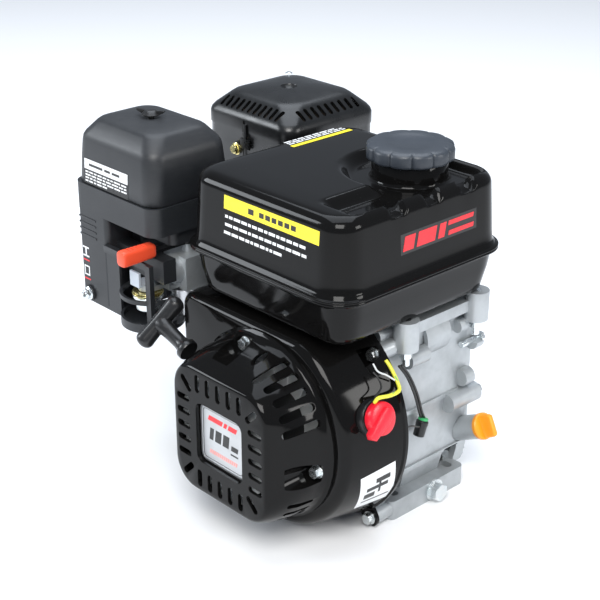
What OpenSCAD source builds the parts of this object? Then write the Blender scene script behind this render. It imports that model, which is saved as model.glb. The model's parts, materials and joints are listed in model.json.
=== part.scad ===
// Small horizontal-shaft, overhead-valve, four-stroke gasoline engine.
// Frame: origin at the centre of the four base holes, on the base plane.
// +Z is up, +Y runs along the crankshaft towards the output end, the cylinder leans to -X.

/* [Power unit] */
// Cylinder bore
bore = 70; // [66:1:72]
// Piston stroke
stroke = 55; // [50:1:55]
// Tilt of the cylinder above the horizontal, in degrees
cyl_tilt = 25; // [24:1:26]
// Height of the crankshaft above the base plane
crank_z = 106; // [104:1:108]
// Offset of the crankshaft from the centre of the base holes
crank_x = 14.5; // [12:0.5:16]
// Diameter of the output shaft
pto_d = 19.05; // [19:0.05:20]
// End of the output shaft
pto_end = 128.7; // [125:0.1:130]
// Pitch circle of the holes round the output shaft
pto_pcd = 92; // [90:1:94]

/* [Base] */
// Hole spacing along X
hole_dx = 162; // [160:0.5:164]
// Hole spacing along Y
hole_dy = 75.5; // [74:0.5:77]
// Width of the mounting slots
slot_w = 8.5; // [8:0.5:9]
// Length of the mounting slots
slot_l = 12.5; // [11:0.5:14]
// Thickness of the feet
foot_h = 20; // [18:1:21]

/* [Fuel tank] */
// Tank width along X, over the seam
tank_w = 213; // [209:1:214]
// Tank length along Y, over the seam
tank_l = 220; // [216:1:222]
// Height of the seam above the base plane
seam_z = 250; // [248:1:252]
// Height of the tank crest above the base plane
tank_top = 322; // [320:1:324]
// Wall of the tank
tank_wall = 1.2; // [1:0.1:2]
// Diameter of the fuel cap
cap_d = 80; // [76:1:82]

/* [Starter] */
// Radius of the flywheel
flywheel_r = 88.5; // [86:0.5:89]
// Front plane of the starter housing
starter_y = -192; // [-194:0.5:-191]
// Front plane of the fan cover
cover_y = -135.5; // [-136:0.5:-135]
// Groove radius of the starter reel
groove_r = 44; // [40:1:46]

/* [Hidden] */
$fn = 64;

clear = 0.04;                       // radial running clearance of shafts in their bores
throw = stroke / 2;
rod_len = 84;
deck_z = throw + rod_len + 18.5;    // top face of the block, along the cylinder axis
gasket_t = 1.2;
head_z = deck_z + gasket_t;
box_cx = -16;                       // middle of the rocker box, across the cylinder
box_z = 185;                        // top face of the head, under the valve cover
case_y0 = -62;                      // flywheel-side wall of the crankcase
case_y1 = 56;                       // joint face of the side cover
pto_y = 67;                         // face round the output shaft
case_wall = 6;
gear_m = 2.2;                       // module of the timing gears
gear_y = 33;
gear_w = 8;
cam_dist = gear_m * 30;             // centre distance of a 20 and a 40 tooth gear
cam_dir = 215;                      // direction of the camshaft from the crankshaft
cam_x = crank_x + cam_dist * cos(cam_dir);
cam_z = crank_z + cam_dist * sin(cam_dir);
web_r = throw + 17;
pin_r = 14;
cam_nose = 17;
valve_y = 17;                       // valves stand this far to each side of the cylinder axis
valve_x = -6;
push_x = (cam_x - crank_x) * sin(cyl_tilt) + (cam_z - crank_z) * cos(cyl_tilt);
tappet_z = -(cam_x - crank_x) * cos(cyl_tilt) + (cam_z - crank_z) * sin(cyl_tilt) + cam_nose + 0.4;
rocker_x = (push_x + valve_x) / 2;
rocker_z = 194;
tip_z = rocker_z - 4;
cover_back = -69;
cover_floor = 3;                    // lowest and highest points of the fan cover
cover_ceiling = 199;
tank_cx = 6.5;
tank_cy = -32;
pan_z = 205;
cap_x = 44;
cap_y = 12;
cap_low = 331;                        // rim of the filler cap
dish_z = 311;                         // floor of the pressed dish round the filler
neck_r = 28;
pull_from = [-51, -170, 165];       // where the pull handle rests against its guide
pull_tilt = 20;                     // rise of the rope, in degrees
dip_at = [94, 54, 60];              // mouth of the oil filler
dip_tilt = 26;
carb_x = -140;                      // carburettor bore
carb_z = 203;
port_x = crank_x - 158 * cos(cyl_tilt) - 8 * sin(cyl_tilt);
port_z = crank_z + 158 * sin(cyl_tilt) - 8 * cos(cyl_tilt);
cup_x = -150;                       // sediment cup and fuel cock
cup_y = -140;

black = [0.03, 0.03, 0.035];
plastic = [0.12, 0.13, 0.15];
alloy = [0.72, 0.73, 0.74];
steel = [0.6, 0.61, 0.63];
zinc = [0.8, 0.82, 0.8];
red = [0.85, 0.1, 0.12];
orange = [0.95, 0.6, 0.12];

// --- placing and drawing helpers ---
module slab_y(y0, y1) translate([0, y1, 0]) rotate([90, 0, 0]) linear_extrude(y1 - y0) children();
module slab_z(z0, z1) translate([0, 0, z0]) linear_extrude(z1 - z0) children();
module rod_y(r, x, z, y0, y1) translate([x, y0, z]) rotate([-90, 0, 0]) cylinder(r = r, h = y1 - y0);
module crank_rod(r, y0, y1) rod_y(r, crank_x, crank_z, y0, y1);
module along_bore() translate([crank_x, 0, crank_z]) rotate([0, cyl_tilt - 90, 0]) children();
module radial(a, y = 0) translate([crank_x, y, crank_z]) rotate([0, -a, 0]) children();
module both_y() for (s = [-1, 1]) scale1(s) children();
module scale1(s) if (s > 0) children(); else mirror([0, 1, 0]) children();
module rrect(w, l, r) {
    square([w - 2 * r, l], center = true);
    square([w, l - 2 * r], center = true);
    for (x = [-1, 1], y = [-1, 1]) translate([x * (w / 2 - r), y * (l / 2 - r)]) circle(r = r);
}
module rbox(x0, x1, y0, y1, z0, z1, r) translate([(x0 + x1) / 2, (y0 + y1) / 2, z0])
    linear_extrude(z1 - z0) rrect(x1 - x0, y1 - y0, r);
module box(x0, x1, y0, y1, z0, z1) translate([x0, y0, z0]) cube([x1 - x0, y1 - y0, z1 - z0]);
// A flange bolt: head above z = 0, shank below it.
module bolt(d, len) {
    cylinder(r = d * 1.1, h = d * 0.22);
    translate([0, 0, d * 0.22]) cylinder(r = d * 0.92, h = d * 0.8, $fn = 6);
    translate([0, 0, -len]) cylinder(r = d / 2, h = len);
}
function unit(v) = v / norm(v);
// A tube swept along points: 8 sides, square to the mean direction at each point.
module sweep(p, r, n = 8) {
    last = len(p) - 1;
    dir = [for (i = [0:last]) unit(p[min(i + 1, last)] - p[max(i - 1, 0)])];
    side = [for (d = dir) unit(cross(d, abs(d[0]) < 0.8 ? [1, 0, 0] : [0, 1, 0]))];
    rings = [for (i = [0:last], k = [0:n - 1])
        p[i] + r * (side[i] * cos(360 * k / n) + cross(dir[i], side[i]) * sin(360 * k / n))];
    walls = [for (i = [0:last - 1], k = [0:n - 1])
        [i * n + k, (i + 1) * n + k, (i + 1) * n + (k + 1) % n, i * n + (k + 1) % n]];
    polyhedron(points = rings, faces = concat([[for (k = [0:n - 1]) k]], walls,
        [[for (k = [n - 1:-1:0]) last * n + k]]));
}
// A smooth route through hand-set points.
function route(p, n = 3) = [for (i = [0:len(p) - 2], k = [0:n - 1]) let (t = k / n,
    a = p[max(i - 1, 0)], b = p[i], c = p[i + 1], d = p[min(i + 2, len(p) - 1)])
    0.5 * (2 * b + (c - a) * t + (2 * a - 5 * b + 4 * c - d) * t * t + (3 * b - a - 3 * c + d) * t * t * t),
    p[len(p) - 1]];

// --- crankcase and its covers ---
module case_outline(inset = 0) offset(delta = -inset) offset(r = 9) offset(delta = -9)
    polygon([[-92, 12], [78, 12], [84, 36], [84, 197], [-25, 197], [-62.3, 116], [-92, 116]]);
side_bolt_at = [[70, 22], [88, 94], [88, 150], [30, 188], [-44, 135], [-84, 60], [-60, 22]];
post_at = [[86, 179], [86, 10], [-113, 100], [-80, 12]];
pillar_at = [[94, -40], [94, 55]];
head_bolt_at = [for (x = [-40, 34], y = [-42, 42]) [x, y]];

module crankcase() color(alloy) difference() {
    union() {
        rbox(-110, 94, -52, 50, 0, foot_h, 6);
        slab_y(case_y0, case_y1) case_outline();
        for (p = post_at) rod_y(8, p[0], p[1], cover_back, -50);
        box(-80, -60, case_y0, -50, 11, 30);
        box(-113, -90, case_y0, -54, 92, 108);
        box(78, 86, case_y0, -50, 2.5, 20);
        for (p = pillar_at) translate([p[0], p[1], 176]) cylinder(r = 11.5, h = pan_z - 176);
        box(60, 94, -40, 55, 186, 197);
        rod_y(9.5, 88, 94, 26, case_y1);
        rod_y(8.5, 88, 115, 44, case_y1);
        rod_y(6.5, 87, 171, 36, case_y1);
        rod_y(8.5, 86, 158, -30, -6);
        rod_y(9, 70, 24, 34, case_y1);
        slab_y(-6, 26) translate([68, 168]) difference() { circle(r = 22); circle(r = 17.5); }
        box(82, 86.5, -50, 44, 100, 104);
        box(82, 86, -50, 56, 40, 43);
        along_bore() {
            cylinder(r = 42, h = deck_z);
            for (i = [0:6]) translate([0, 0, 82 + 7.2 * i]) linear_extrude(2.4) rrect(92, 98, 16);
            translate([0, 0, deck_z - 9]) linear_extrude(9) translate([-12, 0]) rrect(108, 100, 14);
            translate([push_x - 9, -26, 52]) cube([22, 52, deck_z - 52]);
        }
    }
    difference() {
        slab_y(case_y0 + 8, case_y1 + 1) case_outline(case_wall);
        crank_rod(32, case_y0, -40);
        rod_y(14, cam_x, cam_z, case_y0, -44);
        along_bore() {
            translate([0, 0, 56]) cylinder(r = 39, h = 60);
            for (s = [-1, 1]) translate([push_x, s * valve_y, 60]) cylinder(r = 9, h = 40);
        }
        for (p = side_bolt_at) rod_y(8, p[0], p[1], 42, case_y1);
        rod_y(9, 78, 6, -20, 20);
    }
    rod_y(46.8, cam_x, cam_z, gear_y - 1, gear_y + gear_w);
    along_bore() {
        cylinder(r = bore / 2 + clear, h = deck_z + 1);
        for (s = [-1, 1]) {
            translate([push_x, s * valve_y, 50]) cylinder(r = 4.5 + clear, h = 50);
            translate([push_x, s * valve_y, 77]) cylinder(r = 6, h = deck_z - 76);
        }
        for (p = head_bolt_at) translate([p[0], p[1], deck_z - 26]) cylinder(r = 4.1, h = 27);
    }
    crank_rod(26, -59, -39);
    crank_rod(18, case_y0 - 1, -58);
    rod_y(8 + clear, cam_x, cam_z, -58, -40);
    for (p = side_bolt_at) rod_y(3.1, p[0], p[1], 42, case_y1 + 1);
    for (p = post_at) rod_y(3.1, p[0], p[1], cover_back - 1, -50);
    for (p = pillar_at) translate([p[0], p[1], 150]) {
        cylinder(r = 4.1, h = 60);
        cylinder(r = 8, h = 26);
    }
    for (x = [-1, 1], y = [-1, 1]) translate([x * hole_dx / 2, y * hole_dy / 2, 0]) {
        for (s = [-1, 1]) translate([s * (slot_l - slot_w) / 2, 0, -1]) cylinder(r = slot_w / 2, h = 40);
        translate([-(slot_l - slot_w) / 2, -slot_w / 2, -1]) cube([slot_l - slot_w, slot_w, 40]);
        translate([0, 0, foot_h]) cylinder(r = 11, h = 22);
    }
    translate([70, 6, 11]) rotate([0, 90, 0]) cylinder(r = 5.1, h = 40);
    translate(dip_at) rotate([0, 90 - dip_tilt, 0]) translate([0, 0, -62]) cylinder(r = 12.3, h = 80);
}

module side_cover() color(alloy) difference() {
    union() {
        slab_y(case_y1, 62) case_outline();
        for (p = side_bolt_at) rod_y(8.5, p[0], p[1], case_y1, 66);
        rod_y(9.5, 88, 94, case_y1, 66);
        crank_rod(56, 61, pto_y);
        crank_rod(32, 44, 60);
        rod_y(13, cam_x, cam_z, 46, 62);
        translate(dip_at) rotate([0, 90 - dip_tilt, 0]) translate([0, 0, -60]) cylinder(r = 12, h = 76);
        slab_y(case_y1, 62) translate([60, 40]) square([24, 40]);
    }
    for (p = pillar_at) translate([p[0], p[1], 150]) cylinder(r = 11.6, h = 60);
    crank_rod(26, 43, 58.5);
    crank_rod(19, 58, 66.5);
    crank_rod(13.5, 58, 70);
    rod_y(8 + clear, cam_x, cam_z, 45, 58);
    for (i = [0:3]) radial(45 + 90 * i) translate([pto_pcd / 2, 50, 0]) rotate([-90, 0, 0]) cylinder(r = 3.4, h = 20);
    for (p = side_bolt_at) rod_y(3.1, p[0], p[1], 50, 70);
    translate(dip_at) rotate([0, 90 - dip_tilt, 0]) translate([0, 0, -64]) cylinder(r = 9.6, h = 84);
}
// The M6 flange bolts of the side cover, the fan cover and the starter are one size.
module flange_bolts() color(zinc) {
    for (p = side_bolt_at) translate([p[0], 66, p[1]]) rotate([-90, 0, 0]) bolt(6, 23.5);
    for (p = post_at) translate([p[0], -72, p[1]]) rotate([90, 0, 0]) bolt(6, 18);
    for (a = recoil_bolt_a) radial(a, -146) translate([79, 0, 0]) rotate([90, 0, 0]) bolt(6, 12);
}
module ring(r0, r1, y0, y1) difference() { crank_rod(r1, y0, y1); crank_rod(r0, y0 - 1, y1 + 1); }
module bearing(y0, w) {
    ring(12.5 + clear, 16, y0, y0 + w);
    ring(22.5, 26, y0, y0 + w);
    for (i = [0:8]) radial(40 * i, y0 + w / 2) translate([19.25, 0, 0]) sphere(r = 3.24, $fn = 24);
}
module main_bearings() color(steel) { bearing(-57, 15); bearing(43.5, 15); }
module oil_seals() color([0.25, 0.12, 0.1]) {
    ring(12.5 + clear, 18, -62, -58.5);
    ring(12.5 + clear, 19, 59, 66);
}
module drain_plug() color(zinc) translate([94, 6, 11]) rotate([0, 90, 0]) bolt(10, 16);

// --- cylinder head and valve gear ---
module cylinder_head() color(alloy) along_bore() difference() {
    union() {
        translate([-12, 0, head_z]) linear_extrude(12) rrect(108, 100, 14);
        translate([box_cx, 0, head_z]) linear_extrude(box_z - head_z) rrect(112, 84, 12);
        translate([box_cx, 0, box_z - 8]) linear_extrude(8) rrect(118, 92, 12);
        for (i = [0:3]) translate([0, 0, head_z + 16 + 7 * i]) linear_extrude(2.6) rrect(84, 104, 14);
        translate([-8, 0, 158]) rotate([90, 0, 0]) cylinder(r = 19, h = 104, center = true);
        for (p = head_bolt_at) translate([p[0], p[1], head_z]) cylinder(r = 9, h = 26);
    }
    translate([box_cx, 0, 165]) linear_extrude(box_z - 164) rrect(100, 74, 8);
    for (x = [-1, 1], y = [-1, 1]) translate([box_cx + x * 53.5, y * 40.5, box_z - 12]) cylinder(r = 2.6, h = 20);
    translate([0, 0, head_z - 1]) cylinder(r = 32, h = 13);
    both_y() translate([valve_x, valve_y, 120]) cylinder(r = 2.75 + clear, h = 60);
    both_y() translate([valve_x, valve_y, 142]) cylinder(r = 11, h = 12);
    both_y() translate([-8, valve_y - 6, 158]) rotate([-90, 0, 0]) cylinder(r = 11, h = 50);
    both_y() translate([push_x, valve_y, 120]) cylinder(r = 6, h = 70);
    for (p = head_bolt_at) translate([p[0], p[1], 100]) { cylinder(r = 4.1, h = 90); translate([0, 0, 57]) cylinder(r = 10, h = 60); }
    plug_place() cylinder(r = 7.1, h = 30);
    plug_place() translate([0, 0, 22]) cylinder(r = 13, h = 60);
    translate([37, -40, 158]) cube([10, 8, 9]);
}
module plug_place() translate([14, -22, 144]) rotate([0, 60, 0]) children();
module head_gasket() color(steel) along_bore() difference() {
    translate([-12, 0, deck_z + 0.02]) linear_extrude(gasket_t - 0.04) rrect(106, 98, 13);
    translate([0, 0, deck_z - 1]) cylinder(r = 36, h = 5);
    for (p = head_bolt_at) translate([p[0], p[1], deck_z - 1]) cylinder(r = 4.1, h = 5);
    both_y() translate([push_x, valve_y, deck_z - 1]) cylinder(r = 6, h = 5);
}
module head_bolts() color(zinc) along_bore() for (p = head_bolt_at) translate([p[0], p[1], 157]) bolt(8, 50);
module valve_cover() color(plastic) along_bore() difference() {
    union() {
        translate([box_cx, 0, box_z]) linear_extrude(3) rrect(116, 90, 12);
        translate([box_cx, 0, box_z]) linear_extrude(27) rrect(104, 78, 12);
    }
    translate([box_cx, 0, box_z - 1]) linear_extrude(26) rrect(99, 73, 9);
    for (x = [-1, 1], y = [-1, 1]) translate([box_cx + x * 53.5, y * 40.5, 150]) cylinder(r = 2.6, h = 80);
}
module valve_cover_bolts() color(zinc) along_bore() for (x = [-1, 1], y = [-1, 1])
    translate([box_cx + x * 53.5, y * 40.5, box_z + 3]) bolt(5, 14);
module spark_plug() color([0.9, 0.9, 0.88]) plug_axis() {
    cylinder(r = 7, h = 22);
    translate([0, 0, 22]) cylinder(r = 11.5, h = 9, $fn = 6);
    translate([0, 0, 31]) cylinder(r = 6, h = 22);
}
module plug_axis() along_bore() plug_place() children();
module plug_cap() color(black) plug_axis() difference() {
    union() {
        translate([0, 0, 33]) cylinder(r = 10, h = 28);
        translate([0, 0, 52]) rotate([90, 0, 0]) cylinder(r = 6.5, h = 22);
    }
    translate([0, 0, 32]) cylinder(r = 6.05, h = 21.2);
}
module plug_lead() color(black) sweep(route([[-114.6, -44.5, 231.3], [-112, -52, 231], [-104, -60, 226],
    [-100, -68, 217], [-98, -76, 207], [-97, -82, 199], [-92, -88, 190], [-84, -93, 180]]), 3.5);
module ignition_coil() color([0.08, 0.08, 0.09]) radial(145, -100) {
    for (s = [-1, 1]) translate([flywheel_r + 0.7, -8, s * 20 - 5]) cube([20, 16, 10]);
    translate([flywheel_r + 18, -8, -25]) cube([10, 16, 50]);
    translate([flywheel_r + 4, -12, -11]) cube([22, 24, 22]);
}
module rocker_shaft() color(steel) along_bore() {
    translate([rocker_x, 0, rocker_z]) rotate([90, 0, 0]) cylinder(r = 4, h = 60, center = true);
    for (y = [-29, 0, 29]) translate([rocker_x - 4, y - 2.5, 165]) cube([8, 5, rocker_z - 165 - 3.9]);
}
module valve_springs() color(steel) along_bore() both_y() translate([valve_x, valve_y, 165]) difference() {
    cylinder(r = 9, h = 11);
    translate([0, 0, -1]) cylinder(r = 6.5, h = 14);
}
module valve(head_r) {
    translate([valve_x, 0, 139]) cylinder(r1 = head_r, r2 = head_r - 1.5, h = 2.6);
    translate([valve_x, 0, 139]) cylinder(r = 2.75, h = tip_z - 139);
    translate([valve_x, 0, tip_z]) sphere(r = 2.75, $fn = 32);
    translate([valve_x, 0, 183]) cylinder(r = 9, h = 3);
}
module rocker() difference() {
    union() {
        translate([rocker_x, 0, rocker_z]) rotate([90, 0, 0]) cylinder(r = 7, h = 12, center = true);
        translate([push_x - 5, -5, rocker_z - 0.85]) cube([valve_x - push_x + 10, 10, 5]);
    }
    translate([rocker_x, 0, rocker_z]) rotate([90, 0, 0]) cylinder(r = 4 + clear, h = 20, center = true);
}
module pushrod() {
    translate([push_x, 0, tappet_z]) cylinder(r = 11, h = 2.6);
    translate([push_x, 0, tappet_z]) cylinder(r = 4.5, h = 25);
    translate([push_x, 0, tappet_z]) cylinder(r = 3, h = tip_z - tappet_z);
    translate([push_x, 0, tip_z]) sphere(r = 3, $fn = 32);
}
module intake_valve() color(steel) along_bore() translate([0, -valve_y, 0]) valve(13.5);
module exhaust_valve() color(steel) along_bore() translate([0, valve_y, 0]) valve(12.5);
module intake_rocker() color(steel) along_bore() translate([0, -valve_y, 0]) rocker();
module exhaust_rocker() color(steel) along_bore() translate([0, valve_y, 0]) rocker();
module intake_pushrod() color(steel) along_bore() translate([0, -valve_y, 0]) pushrod();
module exhaust_pushrod() color(steel) along_bore() translate([0, valve_y, 0]) pushrod();

// --- crank train ---
module gear2d(teeth, phase) {
    r = gear_m * teeth / 2;
    step = 360 / teeth;
    polygon([for (i = [0:teeth - 1]) each [for (q = [[-0.3, -1.25], [-0.19, 0], [-0.1, 0.8], [0.1, 0.8], [0.19, 0], [0.3, -1.25]])
        (r + q[1] * gear_m) * [cos(phase + (i + q[0]) * step), sin(phase + (i + q[0]) * step)]]]);
}
module web(s) {
    y0 = s > 0 ? 11 : -23;
    difference() {
        union() {
            radial(180 - cyl_tilt, y0) {
                translate([throw, 0, 0]) rotate([-90, 0, 0]) cylinder(r = 17, h = 12);
                rotate([-90, 0, 0]) cylinder(r = 20, h = 12);
            }
            radial(180 - cyl_tilt, y0) intersection() {
                rotate([-90, 0, 0]) cylinder(r = web_r - 0.5, h = 12);
                translate([-60, -1, -60]) cube([72, 14, 120]);
            }
        }
    }
}
module crankshaft() color(steel) difference() {
    union() {
        crank_rod(12.5, -118, -11.2);
        crank_rod(12.5, 11.2, 67);
        crank_rod(pto_d / 2, 66, pto_end);
        crank_rod(8, -150, -117);
        web(1);
        web(-1);
    }
    crank_rod(3.4, pto_end - 24, pto_end + 1);
    translate([crank_x - 2.4, 92, crank_z + 7.1]) cube([4.8, 40, 4]);
}
module crank_gear() color(steel) difference() {
    translate([crank_x, gear_y + gear_w, crank_z]) rotate([90, 0, 0]) linear_extrude(gear_w) gear2d(20, cam_dir);
    crank_rod(12.5, gear_y - 1, gear_y + gear_w + 1);
}
module flywheel() color([0.4, 0.41, 0.42]) difference() {
    union() {
        crank_rod(flywheel_r, -118, -104);
        ring(70, flywheel_r, -105, -78);
        crank_rod(24, -118, -74);
    }
    crank_rod(12.5, -119, -70);
}
module cooling_fan() color([0.92, 0.92, 0.9]) difference() {
    union() {
        crank_rod(86, -121, -118);
        for (i = [0:17]) radial(20 * i, -131) translate([46, 0, 0]) rotate([0, -25, 0]) cube([34, 11, 2]);
        ring(80, 86, -122, -118);
    }
    crank_rod(34.2, -140, -117);
}
module starter_cup() color([0.15, 0.15, 0.16]) {
    difference() {
        union() { crank_rod(34, -145, -118); }
        crank_rod(30, -146, -122);
        crank_rod(8, -123, -117);
    }
    difference() {
        translate([crank_x, -122, crank_z]) rotate([90, 0, 0]) cylinder(r = 13, h = 10, $fn = 6);
        crank_rod(8, -133, -121);
    }
}
module cam_lobe(y, a) translate([0, y - 4.5, 0]) hull() {
    rotate([-90, 0, 0]) cylinder(r = 11.5, h = 9, $fn = 48);
    rotate([0, -a, 0]) translate([cam_nose - 5, 0, 0]) rotate([-90, 0, 0]) cylinder(r = 5, h = 9, $fn = 32);
}
module camshaft() color(steel) translate([cam_x, 0, cam_z]) {
    translate([0, -55, 0]) rotate([-90, 0, 0]) cylinder(r = 8, h = 112);
    cam_lobe(-valve_y, 330);
    cam_lobe(valve_y, 260);
    translate([0, gear_y + gear_w, 0]) rotate([90, 0, 0]) linear_extrude(gear_w) gear2d(40, cam_dir + 180 + 4.5);
}
module piston() color([0.78, 0.78, 0.79]) along_bore() translate([0, 0, throw + rod_len]) difference() {
    union() {
        translate([0, 0, -10]) cylinder(r = bore / 2 - 0.06, h = 28.5);
        intersection() {
            translate([0, 0, -17]) cylinder(r = bore / 2 - 0.06, h = 20);
            translate([-40, -10, -17]) cube([80, 20, 20]);
        }
    }
    difference() {
        translate([0, 0, -18]) cylinder(r = bore / 2 - 4, h = 30);
        for (s = [-1, 1]) translate([-14, s * 20 - 8, -10]) cube([28, 16, 24]);
    }
    translate([0, -40, 0]) rotate([-90, 0, 0]) cylinder(r = 9, h = 80);
    for (z = [6.5, 10, 14]) translate([0, 0, z]) difference() {
        cylinder(r = 40, h = 1.8);
        translate([0, 0, -1]) cylinder(r = bore / 2 - 3, h = 5);
    }
}
module piston_rings() color([0.3, 0.3, 0.31]) along_bore() translate([0, 0, throw + rod_len])
    for (z = [6.5, 10, 14]) translate([0, 0, z]) difference() {
        cylinder(r = bore / 2, h = 1.8);
        translate([0, 0, -1]) cylinder(r = bore / 2 - 3, h = 5);
    }
module wrist_pin() color(steel) along_bore() translate([0, -28, throw + rod_len]) rotate([-90, 0, 0]) difference() {
    cylinder(r = 9, h = 56);
    translate([0, 0, -1]) cylinder(r = 5.5, h = 60);
}
module connecting_rod() color([0.7, 0.7, 0.72]) along_bore() difference() {
    union() {
        translate([0, -10, throw]) rotate([-90, 0, 0]) cylinder(r = 18.5, h = 20);
        translate([0, -9, throw + rod_len]) rotate([-90, 0, 0]) cylinder(r = 11.8, h = 18);
        translate([-8, -5, throw + 10]) cube([16, 10, rod_len - 18]);
        for (s = [-1, 1]) translate([s * 19 - 4, -7, throw - 9]) cube([8, 14, 18]);
        translate([-3, -4, throw - 28]) cube([5, 8, 14]);
    }
    translate([0, -12, throw]) rotate([-90, 0, 0]) cylinder(r = pin_r, h = 30);
    translate([0, -12, throw + rod_len]) rotate([-90, 0, 0]) cylinder(r = 9, h = 30);
}
module crankpin() color(steel) along_bore() translate([0, -10.8, throw]) rotate([-90, 0, 0]) cylinder(r = pin_r, h = 21.6);

// --- cooling shroud and recoil starter ---
module cover_outline(r, s) hull() {
    intersection() {
        translate([crank_x, crank_z]) circle(r = r);
        translate([-150, cover_floor + s]) square([400, cover_ceiling - cover_floor - 2 * s]);
    }
    translate([-92, cover_ceiling - 14]) circle(r = 14 - s);
    translate([-92, 126]) circle(r = 14 - s);
    translate([-60, 24]) circle(r = 20 - s);
}
module cover_solid(s, y0) hull() {
    slab_y(y0, y0 + 0.1) cover_outline(101 - s, s);
    slab_y(cover_back - 0.1, cover_back + (s > 0 ? 1 : 0)) cover_outline(113 - s, s);
}
// A flat ear from the rim of the cover out to one of its bolts.
module cover_ear(p) {
    d = norm([p[0] - crank_x, p[1] - crank_z]);
    translate([p[0], p[1]]) circle(r = 8);
    translate([crank_x, crank_z]) rotate(atan2(p[1] - crank_z, p[0] - crank_x)) translate([d - 30, -8]) square([30, 16]);
}
module fan_cover() color(black) difference() {
    union() {
        difference() {
            cover_solid(0, cover_y);
            cover_solid(3, cover_y + 3);
        }
        for (p = post_at) intersection() {
            slab_y(-112, cover_back) translate([p[0], p[1]]) circle(r = 10);
            cover_solid(0, cover_y);
        }
        for (p = [post_at[1], post_at[3]]) slab_y(-72, cover_back) cover_ear(p);
    }
    for (p = post_at) rod_y(8.2, p[0], p[1], -150, -72);
    crank_rod(72, -150, -120);
    for (a = recoil_bolt_a) radial(a, -150) translate([79, 0, 0]) rotate([-90, 0, 0]) cylinder(r = 3.1, h = 30);
    for (p = post_at) rod_y(3.1, p[0], p[1], -80, -60);
    translate([-97, -82, 190]) cylinder(r = 7, h = 20);
    radial(18, -102) translate([96, 0, 0]) rotate([0, 90, 0]) cylinder(r = 9.1, h = 20);
}
module switch_socket() color(black) radial(18, -102) translate([102, 0, 0]) rotate([0, 90, 0]) {
    cylinder(r = 9, h = 8);
    cylinder(r = 5, h = 8);
}
face_half = 61;
tray_half = 33;
module drum(s, y0) hull() {
    slab_y(-140.1, -140) translate([crank_x, crank_z]) circle(r = 85 - s);
    slab_y(y0, y0 + 0.1) translate([crank_x, crank_z]) rrect(2 * (face_half - s), 2 * (face_half - s), 25 - s);
}
recoil_bolt_a = [100, -9, 225];
module recoil_housing() color(black) difference() {
    union() {
        difference() {
            union() {
                drum(0, starter_y);
                ring(60, 90, -140, cover_y);
            }
            drum(3, starter_y + 3);
            crank_rod(72, -145, -130);
        }
        slab_y(starter_y + 1, -184) translate([crank_x, crank_z]) rrect(2 * tray_half, 2 * tray_half, 5);
        crank_rod(8, -186, -158);
        for (a = recoil_bolt_a) radial(a, -146) translate([79, 0, 0]) rotate([-90, 0, 0]) cylinder(r = 9.5, h = 10);
    }
    slab_y(starter_y - 1, -186) translate([crank_x, crank_z]) rrect(62, 60, 4);
    for (q = [0:3], i = [-2:2]) radial(90 * q, starter_y - 1) translate([39, 0, 14 * i - 4]) cube([18, 6, 8]);
    for (q = [0:3]) radial(45 + 90 * q, starter_y - 1) translate([52, 0, -4]) cube([18, 6, 8]);
    for (i = [0:4]) radial(25 + 10 * i, -176) translate([60, 0, -3]) cube([40, 30, 6]);
    for (a = recoil_bolt_a) radial(a, -200) translate([79, 0, 0]) rotate([-90, 0, 0]) {
        cylinder(r = 8.5, h = 55);
        cylinder(r = 3.1, h = 80);
    }
    translate(pull_from) rotate([0, pull_tilt - 90, 0]) translate([0, 0, -30]) cylinder(r = 6, h = 60);
    translate(pull_from) rotate([0, pull_tilt - 90, 0]) translate([0, 0, -7]) cylinder(r = 12, h = 40);
}
module badge_plate() color([0.82, 0.83, 0.84]) slab_y(-187.5, -186) translate([crank_x, crank_z]) rrect(60, 57, 3);
module starter_reel() color([0.88, 0.88, 0.86]) difference() {
    union() {
        crank_rod(55, -181, -178.5);
        crank_rod(groove_r, -181, -158);
        crank_rod(55, -165, -162.5);
        crank_rod(27, -163, -150);
    }
    crank_rod(8 + clear, -190, -140);
    crank_rod(20, -157, -140);
}
module pull_grip() color(black) translate(pull_from) rotate([0, pull_tilt - 90, 0]) difference() {
    union() {
        cylinder(r = 10, h = 6);
        cylinder(r = 7, h = 40);
        translate([0, 0, 44]) rotate([0, 0, 40]) rotate([0, 90, 0]) cylinder(r = 9.5, h = 38, center = true);
        for (s = [-1, 1]) translate([0, 0, 44]) rotate([0, 0, 40]) translate([s * 19, 0, 0]) sphere(r = 9.5, $fn = 32);
    }
    translate([0, 0, -1]) cylinder(r = 2.5, h = 35);
}

// --- induction side ---
carb_y0 = -124;
module port_duct(r) hull() {
    rod_y(r, port_x, port_z, -53, -52, $fn = 32);
    rod_y(r, carb_x, carb_z, -72, -71, $fn = 32);
}
module intake_insulator() color([0.2, 0.18, 0.16]) difference() {
    port_duct(17);
    port_duct(10);
    rod_y(10, port_x, port_z, -60, -40);
    rod_y(10, carb_x, carb_z, -80, -66);
}
module carburetor() color([0.62, 0.64, 0.66]) difference() {
    union() {
        rod_y(15, carb_x, carb_z, carb_y0, -72);
        box(carb_x - 24, carb_x + 24, -77, -72, carb_z - 16, carb_z + 16);
        box(carb_x - 17, carb_x + 17, -114, -84, carb_z - 20, carb_z + 14);
        translate([carb_x, -98, carb_z]) cylinder(r = 6, h = 22);
        box(carb_x - 8, carb_x + 8, -128, -112, carb_z - 17, carb_z - 8);
        translate([cup_x, cup_y, carb_z - 17]) cylinder(r = 9, h = 6);
        box(cup_x - 6, cup_x + 10, cup_y, -127, carb_z - 17, carb_z - 12);
    }
    rod_y(10, carb_x, carb_z, -140, -60);
    translate([carb_x, -98, carb_z - 12]) cylinder(r = 3, h = 60);
    translate([cup_x, cup_y, carb_z - 14]) cylinder(r = 4, h = 10);
}
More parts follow.
